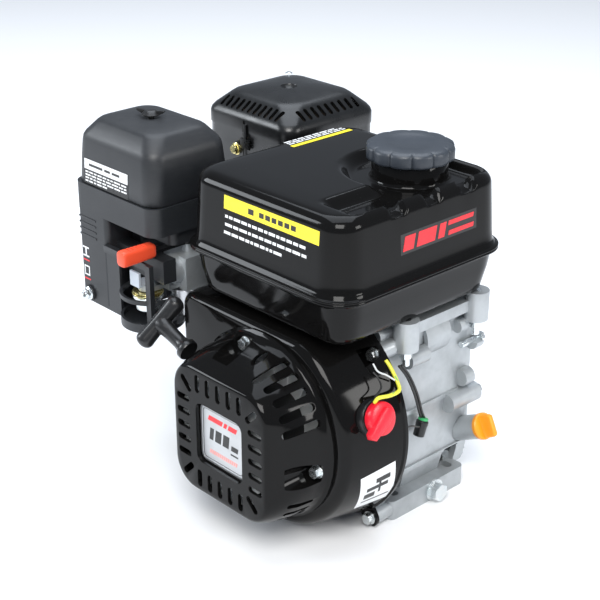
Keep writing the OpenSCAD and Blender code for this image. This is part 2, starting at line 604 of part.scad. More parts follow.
module float_bowl() color([0.7, 0.71, 0.73]) difference() {
    union() {
        translate([carb_x, -99, carb_z - 46]) cylinder(r = 20, h = 26);
        translate([carb_x, -99, carb_z - 50]) cylinder(r = 6, h = 5, $fn = 6);
    }
    translate([carb_x, -99, carb_z - 43]) cylinder(r = 18, h = 30);
}
module sediment_cup() color([0.75, 0.68, 0.4]) {
    difference() {
        translate([cup_x, cup_y, carb_z - 38]) cylinder(r = 12, h = 17);
        translate([cup_x, cup_y, carb_z - 36]) cylinder(r = 10.5, h = 20);
    }
    difference() {
        translate([cup_x, cup_y, carb_z - 21]) cylinder(r = 14.5, h = 4);
        translate([cup_x, cup_y, carb_z - 22]) cylinder(r = 4, h = 6);
    }
}
module choke_lever() color(orange) {
    translate([carb_x, -98, carb_z - 11]) cylinder(r = 3 - clear, h = 36);
    translate([carb_x, -98, carb_z + 22.3]) cylinder(r = 7, h = 3);
    box(carb_x - 4, carb_x + 4, -142, -96, carb_z + 22.3, carb_z + 25.3);
    slab_y(-177, -139) translate([carb_x, carb_z + 26]) rrect(13, 16, 4);
}
module fuel_cock_lever() color([0.75, 0.77, 0.78]) translate([cup_x, cup_y, carb_z - 10.7]) {
    cylinder(r = 8, h = 2.5);
    translate([0, 0, -3]) cylinder(r = 4 - clear, h = 5);
    box(-6, 6, -15, -7, 0, 2.5);
    box(-7, 7, -15, -12.5, 0, 15);
}
throttle_at = [-110, -63];
module control_bracket() color(zinc) {
    box(-124, -101, -71.5, -53, 206, 208);
    box(carb_x + 24, carb_x + 27, -77, -53, 196, 208);
    translate([throttle_at[0], throttle_at[1], 207]) cylinder(r = 4, h = 9);
}
module throttle_lever() color(zinc) translate([throttle_at[0], throttle_at[1], 208.3]) difference() {
    union() {
        cylinder(r = 9, h = 3);
        translate([-1.5, -10, 0]) cube([3, 6, 40]);
        translate([-3, -11, 34]) cube([6, 8, 12]);
    }
    translate([0, 0, -1]) cylinder(r = 4 + clear, h = 10);
}

// --- air cleaner ---
ac = [-250, -126, -148, -49];       // x and y limits of the air cleaner above its band
guard_at = [-153, -133];            // middle of the round guard in front of the fuel cock
guard_r = 31;
module guard_band(z0, z1) intersection() {
    slab_z(z0, z1) translate(guard_at) difference() { circle(r = guard_r); circle(r = guard_r - 3); }
    box(-200, -118, -170, -128, z0, z1);
}
module air_cleaner_case() color(plastic) difference() {
    union() {
        rbox(ac[0] - 2, ac[1] + 2, ac[2] - 2, ac[3] + 2, 245, 273, 14);
        rbox(-246, -198, -150, -90, 149, 246, 6);
        box(-200, -185, -120, -90, 149, 246);
        slab_z(149, 153) translate(guard_at) circle(r = guard_r);
        box(-246, guard_at[0], -150, -120, 149, 153);
        guard_band(150, 158);
        guard_band(178, 182);
        box(guard_at[0] + 20, guard_at[0] + 27, -155, -150, 150, 219);
        box(-201, guard_at[0] + 27, -153, -150, 212, 219);
        box(-201, -181, -150, -147, 150, 219);
        box(-200, carb_x + 15, -139, carb_y0 - 0.2, 197, 220);
        rbox(-190, -128, -125, -60, 231, 246, 8);
        translate([-232, -152, 158]) rotate([-90, 0, 0]) cylinder(r = 8, h = 6);
    }
    rbox(ac[0] + 2, ac[1] - 2, ac[2] + 2, ac[3] - 2, 249, 280, 10);
    rbox(-243, -201, -147, -93, 152, 252, 4);
    rod_y(5.5, carb_x, carb_z + 3, -130, -120);
    box(-204, carb_x + 12, -136, -127, 200, 217);
    box(-186, -130, -122, -64, 233, 252);
}
module filter_element() color([0.75, 0.7, 0.4]) difference() {
    rbox(-236, -140, -138, -59, 250, 318, 10);
    rbox(-218, -158, -120, -77, 249, 306, 6);
    translate([-188, -98.5, 300]) cylinder(r = 4, h = 30);
}
module air_cleaner_cover() color(plastic) difference() {
    hull() {
        rbox(ac[0], ac[1], ac[2], ac[3], 273.3, 322, 14);
        rbox(ac[0] + 15, ac[1] - 15, ac[2] + 15, ac[3] - 15, 338, 341, 12);
    }
    hull() {
        rbox(ac[0] + 2.5, ac[1] - 2.5, ac[2] + 2.5, ac[3] - 2.5, 272, 321, 11);
        rbox(ac[0] + 17, ac[1] - 17, ac[2] + 17, ac[3] - 17, 336, 338, 10);
    }
    translate([-188, -98.5, 330]) cylinder(r = 3 + clear, h = 20);
}
module wing_nut() color([0.12, 0.12, 0.13]) translate([-188, -98.5, 341.3]) {
    translate([0, 0, -6]) cylinder(r = 3, h = 7);
    cylinder(r = 9, h = 3);
    for (s = [0, 180]) rotate([0, 0, 25 + s]) translate([2, -1.5, 0]) cube([13, 3, 5]);
}

// --- exhaust side ---
mf = [-231, -104, 1, 125];
module muffler() color([0.35, 0.33, 0.3]) difference() {
    union() {
        rbox(-217, -118, 14, 112, 240, 322, 24);
        rod_y(15, port_x, port_z, 52, 74);
        translate([port_x, 70, port_z - 10]) cylinder(r = 15, h = 252 - port_z);
        rod_y(26, port_x, port_z, 52, 57);
    }
    rbox(-215, -120, 16, 110, 242, 320, 22);
    rod_y(11, port_x, port_z, 50, 74);
    translate([port_x, 70, port_z - 6]) cylinder(r = 12, h = 252 - port_z);
    translate([-222, 40, 262]) rotate([0, 90, 0]) cylinder(r = 9, h = 14);
}
module muffler_guard() color([0.05, 0.05, 0.055]) difference() {
    hull() {
        rbox(mf[0], mf[1], mf[2], mf[3], 228, 327, 14);
        rbox(mf[0] + 18, mf[1] - 18, mf[2] + 18, mf[3] - 18, 343, 345, 10);
    }
    hull() {
        rbox(mf[0] + 2, mf[1] - 2, mf[2] + 2, mf[3] - 2, 220, 326, 12);
        rbox(mf[0] + 20, mf[1] - 20, mf[2] + 20, mf[3] - 20, 341, 343, 8);
    }
    for (i = [0:10]) translate([-208 + 8.1 * i, mf[2] + 10, 335]) rotate([-45, 0, 0]) cube([4, 16, 14], center = true);
    for (i = [0:8]) translate([mf[1] - 10, 26 + 9.2 * i, 335]) rotate([0, 45, 0]) cube([16, 4.5, 14], center = true);
    translate([-235, 40, 262]) rotate([0, 90, 0]) cylinder(r = 12, h = 10);
}

// --- fuel tank ---
module tank_plate(inset, z0, z1) translate([tank_cx, tank_cy, z0]) linear_extrude(z1 - z0)
    rrect(tank_w - 2 * inset, tank_l - 2 * inset, 30 - inset / 2);
module tank_body(s) {
    hull() {
        tank_plate(5 + s, seam_z - 1, seam_z + 1);
        tank_plate(9 + s, seam_z + 44, seam_z + 45 - s);
        tank_plate(14 + s, tank_top - 10 - s, tank_top - 9 - s);
        tank_plate(24 + s, tank_top - 1 - s, tank_top - s);
    }
    hull() {
        tank_plate(5 + s, seam_z - 1, seam_z + 1);
        tank_plate(12 + s, pan_z + 8 + s, pan_z + 9 + s);
        tank_plate(18 + s, pan_z + s, pan_z + 1 + s);
    }
}
module dish(s) intersection() {
    rbox(-40 - s, 95 + s, -106 - s, 61 + s, dish_z - s, 340, 14 + s);
    union() {
        translate([cap_x, cap_y, dish_z - s]) cylinder(r = 58 + s, h = 30);
        rbox(56 - s, 95 + s, -106 - s, 61 + s, dish_z - s, 340, 14 + s);
    }
}
module fuel_tank() color(black) difference() {
    union() {
        tank_plate(0, seam_z - 2.5, seam_z + 2.5);
        difference() { tank_body(0); dish(0); }
        translate([cap_x, cap_y, 300]) cylinder(r = neck_r + 6.5, h = cap_low - 300.2);
        translate([cap_x, cap_y, 300]) cylinder(r = neck_r + 2, h = cap_low - 292.2);
    }
    difference() { tank_body(tank_wall); dish(tank_wall); }
    translate([cap_x, cap_y, 290]) cylinder(r = neck_r, h = 60);
    for (p = pillar_at) translate([p[0], p[1], 190]) cylinder(r = 4.1, h = 16);
}

module fuel_cap() color(plastic) translate([cap_x, cap_y, cap_low]) difference() {
    union() {
        cylinder(r = cap_d / 2 - 3, h = 15);
        for (i = [0:11]) rotate([0, 0, 30 * i]) translate([cap_d / 2 - 6, 0, 0]) cylinder(r = 6, h = 13);
    }
    translate([0, 0, -2]) cylinder(r = neck_r + 2.1, h = 10);
}

module tank_nuts() color(zinc) for (p = pillar_at) translate([p[0], p[1], 0]) {
    translate([0, 0, 168]) cylinder(r = 6.5, h = 8, $fn = 6);
    translate([0, 0, 160]) cylinder(r = 4, h = pan_z - 160);
}

// --- controls and small parts on the right ---
module stop_switch() color(red) radial(18, -102) translate([110.3, 0, 0]) rotate([0, 90, 0]) {
    cylinder(r = 15, h = 9);
    hull() {
        translate([0, 0, 9]) rotate([0, 0, 40]) translate([-17, -2, 0]) cube([34, 4, 3.5]);
        translate([0, 0, 9]) cylinder(r = 6, h = 3);
    }
}
module dipstick() color(orange) translate(dip_at) rotate([0, 90 - dip_tilt, 0]) {
    translate([0, 0, 16.2]) cylinder(r = 13, h = 5);
    translate([0, 0, 21]) hull() {
        translate([-12, -4, 0]) cube([24, 8, 2]);
        translate([-10, -2.5, 10]) cube([20, 5, 2]);
    }
    translate([0, 0, -8]) cylinder(r = 9.5, h = 25);
    translate([0, 0, -50]) cylinder(r = 2.5, h = 50);
}
// Ground wire, engine switch lead and its connector.
module wiring() color([0.6, 0.75, 0.2]) {
    sweep(route([[98, -54, 172], [101, -62, 163], [109, -64, 159], [118, -66, 162], [126, -73, 164]]), 1.8);
    sweep(route([[97, -50, 164], [98, -40, 150], [97, -28, 128], [94, -17, 104], [92, -11, 94]]), 2.6);
    translate([92, -10.6, 93.2]) rotate([-20, 0, 0]) translate([0, 0, -17]) cylinder(r = 6, h = 16);
}

crankcase();
side_cover();
main_bearings();
oil_seals();
drain_plug();
flange_bolts();
cylinder_head();
head_gasket();
head_bolts();
valve_cover();
valve_cover_bolts();
spark_plug();
plug_cap();
plug_lead();
ignition_coil();
rocker_shaft();
valve_springs();
crankshaft();
crank_gear();
flywheel();
cooling_fan();
starter_cup();
camshaft();
piston();
piston_rings();
wrist_pin();
connecting_rod();
crankpin();
intake_valve();
intake_rocker();
intake_pushrod();
exhaust_valve();
exhaust_rocker();
exhaust_pushrod();
fan_cover();
recoil_housing();
badge_plate();
starter_reel();
pull_grip();
intake_insulator();
carburetor();
float_bowl();
sediment_cup();
choke_lever();
fuel_cock_lever();
throttle_lever();
control_bracket();
air_cleaner_case();
filter_element();
air_cleaner_cover();
wing_nut();
muffler();
muffler_guard();
fuel_tank();
fuel_cap();
tank_nuts();
switch_socket();
stop_switch();
dipstick();
wiring();
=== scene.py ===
"""Finish and visible detail of a small gasoline engine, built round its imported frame.

Shapes are worked out in millimetres, and MM turns them into metres when a mesh is made.
+Z is up, +Y runs along the crankshaft to the output end, the cylinder leans to -X.
"""
import json
import math

import bmesh
import bpy
import numpy as np
from mathutils import Matrix, Vector
from mathutils.geometry import convex_hull_2d

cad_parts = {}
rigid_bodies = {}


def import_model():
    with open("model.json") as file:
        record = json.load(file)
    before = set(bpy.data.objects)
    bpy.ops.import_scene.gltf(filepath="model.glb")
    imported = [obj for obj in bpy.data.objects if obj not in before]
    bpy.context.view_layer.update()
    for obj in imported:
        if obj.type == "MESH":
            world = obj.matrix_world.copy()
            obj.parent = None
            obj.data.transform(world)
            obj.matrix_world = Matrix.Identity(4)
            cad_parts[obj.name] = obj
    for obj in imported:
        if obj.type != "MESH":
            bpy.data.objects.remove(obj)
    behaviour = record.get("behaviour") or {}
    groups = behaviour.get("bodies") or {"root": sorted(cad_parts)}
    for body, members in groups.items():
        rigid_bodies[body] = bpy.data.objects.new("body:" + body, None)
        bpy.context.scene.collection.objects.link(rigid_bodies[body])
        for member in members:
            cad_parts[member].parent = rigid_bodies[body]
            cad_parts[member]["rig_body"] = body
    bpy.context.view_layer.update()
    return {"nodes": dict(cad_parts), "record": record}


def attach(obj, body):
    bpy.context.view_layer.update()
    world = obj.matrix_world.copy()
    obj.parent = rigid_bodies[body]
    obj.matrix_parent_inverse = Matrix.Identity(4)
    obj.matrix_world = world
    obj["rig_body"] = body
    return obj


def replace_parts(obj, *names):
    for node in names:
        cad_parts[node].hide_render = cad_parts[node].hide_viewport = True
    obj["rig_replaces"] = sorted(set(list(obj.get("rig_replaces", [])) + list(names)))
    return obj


MM = 0.001
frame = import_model()
body_of_node = {n: o["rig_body"] for n, o in frame["nodes"].items()}
slot_of_node = {r["node"]: r["material_slot"] for r in frame["record"]["subparts"]}

CRANK = np.array([14.5, 106.0])  # x and z of the crankshaft axis
STEPS_BETWEEN = 8  # steps of a wire's curve between two of its points


# ---------------------------------------------------------------- finishes
SHADER_INPUT = {"colour": "Base Color", "rough": "Roughness", "metal": "Metallic", "normal": "Normal",
                "specular": "Specular IOR Level"}


class Flow:
    """A value on its way through a finish. Arithmetic on it adds Math nodes."""

    def __init__(self, recipe, socket):
        self.recipe, self.socket = recipe, socket

    def _math(self, operation, *values):
        return self.recipe.node("ShaderNodeMath", {"operation": operation}, dict(enumerate(values)))

    def __add__(self, other):
        return self._math("ADD", self, other)

    def __sub__(self, other):
        return self._math("SUBTRACT", self, other)

    def __rsub__(self, other):
        return self._math("SUBTRACT", other, self)

    def __mul__(self, other):
        return self._math("MULTIPLY", self, other)

    __radd__, __rmul__ = __add__, __mul__

    def span(self, low, high, start=0.0, end=1.0):
        """low..high stretched to start..end, and held there beyond them."""
        return self.recipe.node(
            "ShaderNodeMapRange", {"clamp": True},
            {0: self, 1: low, 2: high, 3: start, 4: end},
        )


class Recipe:
    """A material being put together, node by node."""

    def __init__(self, name):
        self.material = bpy.data.materials.new(name)
        self.material.use_nodes = True
        self.tree = self.material.node_tree
        self.shader = next(n for n in self.tree.nodes if n.type == "BSDF_PRINCIPLED")
        self.place = self.node("ShaderNodeTexCoord", {}, {}, "Object")

    def node(self, kind, settings, sockets, out=0):
        """Adds a node of a kind, sets it up, fills or links its sockets, and returns one output."""
        made = self.tree.nodes.new(kind)
        for key, value in settings.items():
            setattr(made, key, value)
        for key, value in sockets.items():
            self.fill(made.inputs[key], value)
        return Flow(self, made.outputs[out])

    def fill(self, socket, value):
        if isinstance(value, Flow):
            self.tree.links.new(value.socket, socket)
        else:
            socket.default_value = value

    def noise(self, size, detail=3.0, rough=0.5, stretch=None):
        """Cloudy noise from 0 to 1 whose blotches are about size millimetres across."""
        where = self.place
        if stretch:
            where = self.node("ShaderNodeMapping", {}, {0: where, 3: stretch})
        return self.node(
            "ShaderNodeTexNoise", {},
            {"Vector": where, "Scale": 1 / (size * MM), "Detail": detail, "Roughness": rough},
        )

    def cells(self, size):
        """Distance to the nearest of many scattered points, size millimetres apart."""
        return self.node("ShaderNodeTexVoronoi", {}, {"Vector": self.place, "Scale": 1 / (size * MM)})

    def mix(self, share, first, second):
        """Blends two colours: the first at share 0, the second at share 1."""
        return self.node(
            "ShaderNodeMix", {"data_type": "RGBA"},
            {0: share, 6: (*first, 1) if isinstance(first, tuple) else first,
             7: (*second, 1) if isinstance(second, tuple) else second}, 2,
        )

    def bump(self, height, depth, strength=1.0, under=None):
        """A normal tilted by a height from 0 to 1 that stands depth millimetres high."""
        sockets = {"Height": height, "Strength": strength, "Distance": depth * MM}
        if under is not None:
            sockets["Normal"] = under
        return self.node("ShaderNodeBump", {}, sockets)

    def finish(self, **sockets):
        """Fills the shader's sockets, named as in SHADER_INPUT, and returns the material."""
        for key, value in sockets.items():
            self.fill(self.shader.inputs[SHADER_INPUT[key]], (*value, 1) if isinstance(value, tuple) else value)
        return self.material


def enamel(name, colour):
    """Glossy stoving enamel: faint orange peel, a little haze and specks of dust.
    A low specular level keeps its black deep."""
    r = Recipe(name)
    peel, haze, dust = r.noise(2.6, 1.0), r.noise(45, 4.0, 0.6), r.noise(0.9, 2.0)
    specks = dust.span(0.70, 0.76) * haze.span(0.35, 0.7)
    pale = tuple(min(1.0, c + 0.05) for c in colour)
    return r.finish(
        colour=r.mix(specks * 0.4, colour, pale), rough=haze.span(0.3, 0.75, 0.06, 0.12) + specks * 0.2,
        normal=r.bump(peel, 0.02, 0.2), specular=0.16,
    )


def satin(name, colour, rough=0.4, depth=0.05):
    """Heat-proof powder paint: fine pebbled bump and a soft sheen that varies."""
    r = Recipe(name)
    pebble, cloud = r.noise(0.8, 2.0), r.noise(30, 4.0, 0.6)
    rubbed = tuple(c * 1.9 for c in colour)
    return r.finish(
        colour=r.mix(cloud.span(0.4, 0.8, 0.0, 0.5), colour, rubbed),
        rough=cloud.span(0.3, 0.7, rough - 0.06, rough + 0.08), normal=r.bump(pebble, depth, 0.35),
    )


def plastic(name, colour, rough=0.5, grain=0.5, depth=0.06, flow=0.35):
    """Moulded plastic: spark-eroded grain, weak flow lines and slight fading."""
    r = Recipe(name)
    eroded, lines, cloud = r.cells(grain), r.noise(9, 3.0, 0.5, (1, 1, 4)), r.noise(60, 3.0)
    faded = tuple(c + (0.5 - c) * 0.05 for c in colour)
    return r.finish(
        colour=r.mix(cloud.span(0.35, 0.7) * flow + lines.span(0.4, 0.8) * flow * 0.5, colour, faded),
        rough=rough + (lines - 0.5) * 0.12, normal=r.bump(eroded, depth, 0.3),
    )


def casting(name, colour, metal=0.75, rough=0.42):
    """Blasted aluminium casting: two scales of grain, soft stains and bright flecks."""
    r = Recipe(name)
    coarse, fine, stain = r.noise(1.8, 4.0, 0.65), r.noise(0.5, 2.0), r.noise(38, 4.0, 0.6)
    flecks = r.cells(0.9).span(0.0, 0.12, 1.0, 0.0)
    dull = tuple(c * 0.72 for c in colour)
    base = r.mix(stain.span(0.42, 0.78), colour, dull)
    return r.finish(
        colour=r.mix(flecks * 0.35, base, (0.95, 0.96, 0.97)), metal=metal,
        rough=stain.span(0.3, 0.7, rough - 0.05, rough + 0.1) - flecks * 0.1,
        normal=r.bump(coarse, 0.12, 0.45, r.bump(fine, 0.05, 0.5)),
    )


def plating(name, colour, tint, rough=0.24):
    """Zinc or chromate plate: bright metal with drifting tint and fine scratches."""
    r = Recipe(name)
    drift, scratch = r.noise(6, 3.0, 0.6), r.noise(1.2, 3.0, 0.6, (1, 1, 9))
    return r.finish(
        colour=r.mix(drift.span(0.35, 0.7), colour, tint), metal=0.95,
        rough=scratch.span(0.3, 0.8, rough - 0.07, rough + 0.12), normal=r.bump(scratch, 0.015, 0.3),
    )


def machined(name, colour, rough=0.28, lay=(1, 12, 1), metal=1.0):
    """Turned, ground or brushed metal: fine lines across one direction and oily clouds."""
    r = Recipe(name)
    lines, cloud = r.noise(1.5, 4.0, 0.7, lay), r.noise(22, 3.0)
    dark = tuple(c * 0.7 for c in colour)
    return r.finish(
        colour=r.mix(cloud.span(0.4, 0.75, 0.0, 0.6), colour, dark), metal=metal,
        rough=lines.span(0.2, 0.8, rough - 0.08, rough + 0.12), normal=r.bump(lines, 0.02, 0.35),
    )


def rubber(name, colour, rough=0.6):
    """Sleeve rubber: dull, faintly mottled, with a bloom that lightens it."""
    r = Recipe(name)
    bloom, grit = r.noise(14, 4.0, 0.6), r.noise(0.7, 2.0)
    pale = tuple(c + 0.03 for c in colour)
    return r.finish(colour=r.mix(bloom.span(0.4, 0.75), colour, pale),
                    rough=bloom.span(0.3, 0.7, rough - 0.1, rough + 0.1), normal=r.bump(grit, 0.03, 0.3))


def print_ink(name, colour, rough=0.35):
    """Sticker film or printed ink: nearly even colour, a little wear and faint waviness."""
    r = Recipe(name)
    wear, wave = r.noise(3.5, 4.0, 0.7), r.noise(12, 1.0)
    worn = tuple(c * 0.86 for c in colour)
    return r.finish(colour=r.mix(wear.span(0.5, 0.8), colour, worn),
                    rough=wear.span(0.3, 0.7, rough - 0.08, rough + 0.1), normal=r.bump(wave, 0.03, 0.15))


def felted(name, colour):
    """Pleated paper and foam: open cells whose pits carry painted shade, and a dry surface."""
    r = Recipe(name)
    cells, cloud = r.cells(1.4), r.noise(20, 3.0)
    # The colour is painted darker in the pits of the cells, as painted shade; the same cells sink those pits
    # through the bump.
    return r.finish(colour=r.mix(cells.span(0.1, 0.6), tuple(c * 0.5 for c in colour), colour),
                    rough=cloud.span(0.2, 0.8, 0.85, 0.95), normal=r.bump(cells, 0.5, 0.7))


FINISH = {
    "cast_alloy": casting("cast_alloy", (0.46, 0.485, 0.50), 0.55, 0.44),
    "carb_alloy": casting("carb_alloy", (0.30, 0.33, 0.37), 0.6, 0.4),
    "steel": machined("steel", (0.58, 0.59, 0.61)),
    "zinc": plating("zinc", (0.78, 0.80, 0.80), (0.70, 0.76, 0.78)),
    "gold_zinc": plating("gold_zinc", (0.86, 0.68, 0.26), (0.80, 0.78, 0.42)),
    "black_enamel": enamel("black_enamel", (0.0045, 0.0043, 0.0042)),
    "satin_black": satin("satin_black", (0.005, 0.0054, 0.0058), 0.30),
    "grey_plastic": plastic("grey_plastic", (0.013, 0.0145, 0.017), 0.44),
    "cap_plastic": plastic("cap_plastic", (0.026, 0.033, 0.044), 0.40),
    "black_plastic": plastic("black_plastic", (0.006, 0.006, 0.0065), 0.32, 0.6, 0.03),
    "rubber": rubber("rubber", (0.008, 0.008, 0.008)),
    "wire": rubber("wire", (0.005, 0.005, 0.005), 0.4),
    "red_plastic": plastic("red_plastic", (0.78, 0.012, 0.030), 0.30, 1.2, 0.02, 0.1),
    "orange_plastic": plastic("orange_plastic", (0.95, 0.34, 0.012), 0.34, 0.8, 0.03, 0.15),
    "choke_orange": plastic("choke_orange", (0.90, 0.085, 0.030), 0.40, 0.7, 0.04, 0.15),
    "light_plastic": plastic("light_plastic", (0.72, 0.74, 0.74), 0.45, 0.9, 0.03),
    "lever_plastic": plastic("lever_plastic", (0.50, 0.55, 0.60), 0.40, 0.9, 0.03),
    "cast_iron": casting("cast_iron", (0.20, 0.20, 0.21), 0.8, 0.5),
    "ceramic": plastic("ceramic", (0.82, 0.82, 0.80), 0.18, 2.0, 0.01, 0.1),
    "badge": machined("badge", (0.56, 0.57, 0.58), 0.34, (1, 1, 14), 0.85),
    "foam": felted("foam", (0.55, 0.50, 0.30)),
    "exhaust": casting("exhaust", (0.16, 0.13, 0.10), 0.7, 0.55),
    "gasket": machined("gasket", (0.40, 0.40, 0.39), 0.45),
    "ink_red": print_ink("ink_red", (0.80, 0.02, 0.03)),
    "ink_black": print_ink("ink_black", (0.012, 0.012, 0.012)),
    "ink_white": print_ink("ink_white", (0.85, 0.86, 0.86)),
    "ink_yellow": print_ink("ink_yellow", (0.95, 0.78, 0.03)),
    "ink_pink": print_ink("ink_pink", (0.85, 0.33, 0.30)),
    "earth_yellow": plastic("earth_yellow", (0.80, 0.78, 0.06), 0.35, 1.0, 0.02),
    "earth_green": plastic("earth_green", (0.05, 0.42, 0.14), 0.35, 1.0, 0.02),
}


# ---------------------------------------------------------------- shapes
class Solid:
    """A closed body in millimetres while it is shaped: - cuts, + joins, & keeps what both hold."""

    def __init__(self, points, faces):
        mesh = bpy.data.meshes.new("solid")
        mesh.from_pydata(np.asarray(points, float).tolist(), [], [list(map(int, f)) for f in faces])
        bm = bmesh.new()
        bm.from_mesh(mesh)
        bmesh.ops.remove_doubles(bm, verts=bm.verts, dist=1e-4)
        bmesh.ops.recalc_face_normals(bm, faces=bm.faces)
        bm.to_mesh(mesh)
        bm.free()
        self.mesh = mesh

    @classmethod
    def of(cls, mesh):
        made = cls.__new__(cls)
        made.mesh = mesh
        return made

    def _with(self, other, operation):
        first, second = (bpy.data.objects.new("work", m) for m in (self.mesh, other.mesh))
        for o in (first, second):
            bpy.context.scene.collection.objects.link(o)
        cut = first.modifiers.new("cut", "BOOLEAN")
        cut.operation, cut.object, cut.solver = operation, second, "EXACT"
        graph = bpy.context.evaluated_depsgraph_get()
        mesh = bpy.data.meshes.new_from_object(first.evaluated_get(graph))
        for o in (first, second):
            bpy.data.objects.remove(o)
        return Solid.of(mesh)

    def __sub__(self, other):
        return self._with(other, "DIFFERENCE")

    def __add__(self, other):
        return self._with(other, "UNION")

    def __and__(self, other):
        return self._with(other, "INTERSECT")

    def moved(self, matrix):
        mesh = self.mesh.copy()
        mesh.transform(matrix)
        return Solid.of(mesh)


def together(solids):
    """Bodies that don't touch, taken as one."""
    bm = bmesh.new()
    for s in solids:
        bm.from_mesh(s.mesh)
    mesh = bpy.data.meshes.new("solids")
    bm.to_mesh(mesh)
    bm.free()
    return Solid.of(mesh)


def lattice(rows, columns, closed=True):
    """Four-cornered faces between the neighbours of a grid of points, numbered row by row.
    In a closed one the last column meets the first."""
    i, j = np.meshgrid(np.arange(rows - 1), np.arange(columns if closed else columns - 1), indexing="ij")
    here, below = i * columns, (i + 1) * columns
    beside = (j + 1) % columns
    return np.stack([here + j, here + beside, below + beside, below + j], -1).reshape(-1, 4)


def loft(loops):
    """A skin over closed outlines of equal point counts, in order, with capped ends."""
    loops = np.asarray(loops, float)
    rows, columns = loops.shape[:2]
    faces = lattice(rows, columns).tolist()
    faces += [list(range(columns)), list(range((rows - 1) * columns, rows * columns))]
    return Solid(loops.reshape(-1, 3), faces)


def rounded(width, length, radius, arc=8):
    """Rounded rectangle, centred: each corner is a quarter circle about (w/2 - r, l/2 - r)."""
    t = np.linspace(0, math.pi / 2, arc + 1)
    quarters = []
    for k, (sx, sy) in enumerate(((1, 1), (-1, 1), (-1, -1), (1, -1))):
        a = t + k * math.pi / 2
        quarters.append(np.stack([sx * (width / 2 - radius) + radius * np.cos(a),
                                  sy * (length / 2 - radius) + radius * np.sin(a)], 1))
    return np.concatenate(quarters)


def disc(radius, count=48, lobes=0, depth=0.0, sharp=1.0):
    """Circle whose radius can swell and sink lobes times round: r + d (|cos(n a / 2)|^s - 1)."""
    a = np.arange(count) * 2 * math.pi / count
    r = radius + (depth * (np.abs(np.cos(lobes * a / 2)) ** sharp - 1) if lobes else 0)
    return np.stack([r * np.cos(a), r * np.sin(a)], 1)


def at(origin, z=(0, 0, 1), x=(1, 0, 0)):
    """Matrix that puts a local frame at origin, with its z and x axes along the given ones."""
    z = Vector(z).normalized()
    y = z.cross(Vector(x)).normalized()
    x = y.cross(z)
    return Matrix.Translation(Vector(origin)) @ Matrix((x, y, z)).transposed().to_4x4()


def level(outline, z):
    """An outline laid flat at a height."""
    return np.column_stack([outline, np.full(len(outline), z)])


def prism(outline, low, high, place=None, ease=0.0):
    """An outline carried along z, its rims rounded by ease:
    the outline shrinks by e (1 - sin t) as it climbs e (1 - cos t)."""
    outline = np.asarray(outline, float)
    middle = outline.mean(0)
    reach = np.abs(outline - middle).max(0)
    heights, shrink = [low, high], [0.0, 0.0]
    if ease:
        t = np.linspace(0, math.pi / 2, 4)
        rise, inset = ease * (1 - np.cos(t)), ease * (1 - np.sin(t))
        heights = list(low + rise) + list(high - rise[::-1])
        shrink = list(inset) + list(inset[::-1])
    made = loft([level(middle + (outline - middle) * (1 - s / reach), h) for h, s in zip(heights, shrink)])
    return made.moved(place) if place else made


def turned(profile, place, count=48):
    """A profile of (radius, height) pairs turned about z: x = r cos a, y = r sin a."""
    return loft([level(disc(1.0, count) * r, h) for r, h in profile]).moved(place)


def block(x0, x1, y0, y1, z0, z1, radius=0.01):
    """A box between two corners, its upright edges rounded by radius."""
    return prism(rounded(x1 - x0, y1 - y0, radius, 5), z0, z1, at(((x0 + x1) / 2, (y0 + y1) / 2, 0)))


def smooth_route(points):
    """Catmull-Rom curve through points:
    a cubic on each stretch, whose slope at a point is half the step between its neighbours."""
    p = np.asarray(points, float)
    p = np.concatenate([p[:1] * 2 - p[1:2], p, p[-1:] * 2 - p[-2:-1]])
    t = np.linspace(0, 1, STEPS_BETWEEN, endpoint=False)[:, None]
    runs = [0.5 * (2 * b + (c - a) * t + (2 * a - 5 * b + 4 * c - d) * t**2 + (3 * b - a - 3 * c + d) * t**3)
            for a, b, c, d in zip(p, p[1:], p[2:], p[3:])]
    return np.concatenate(runs + [p[-2:-1]])


def tube(path, radius, count):
    """A round section carried along a path.
    Each frame is the last one turned by the least that keeps it square to the path."""
    path = np.asarray(path, float)
    tangent = np.gradient(path, axis=0)
    tangent /= np.linalg.norm(tangent, axis=1)[:, None]
    section = disc(radius, count)
    side = np.cross(tangent[0], (0, 0, 1) if abs(tangent[0][2]) < 0.9 else (1, 0, 0))
    loops = []
    for p, t in zip(path, tangent):
        side = side - t * (side @ t)
        side /= np.linalg.norm(side)
        up = np.cross(t, side)
        loops.append(p + section[:, :1] * side + section[:, 1:] * up)
    return loft(loops)


def show(name, solid, finish, body="root", stands_for=(), bevel=0.0, angle=35, segments=2):
    """Makes a piece of a solid in metres, with a finish, a body and the nodes it stands for.
    Bevel rounds its edges that turn by more than angle."""
    mesh = solid.mesh.copy()
    mesh.name = name
    mesh.transform(Matrix.Scale(MM, 4))
    piece = bpy.data.objects.new(name, mesh)
    bpy.context.scene.collection.objects.link(piece)
    mesh.materials.clear()
    mesh.materials.append(FINISH[finish])
    mesh.shade_smooth()
    mesh.set_sharp_from_angle(angle=math.radians(angle))
    if bevel:
        soften = piece.modifiers.new("rims", "BEVEL")
        soften.width, soften.segments = bevel * MM, segments
        soften.limit_method, soften.angle_limit = "ANGLE", math.radians(angle)
        soften.harden_normals = True
        soften.miter_outer = "MITER_ARC"
    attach(piece, body)
    if stands_for:
        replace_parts(piece, *stands_for)
    return piece


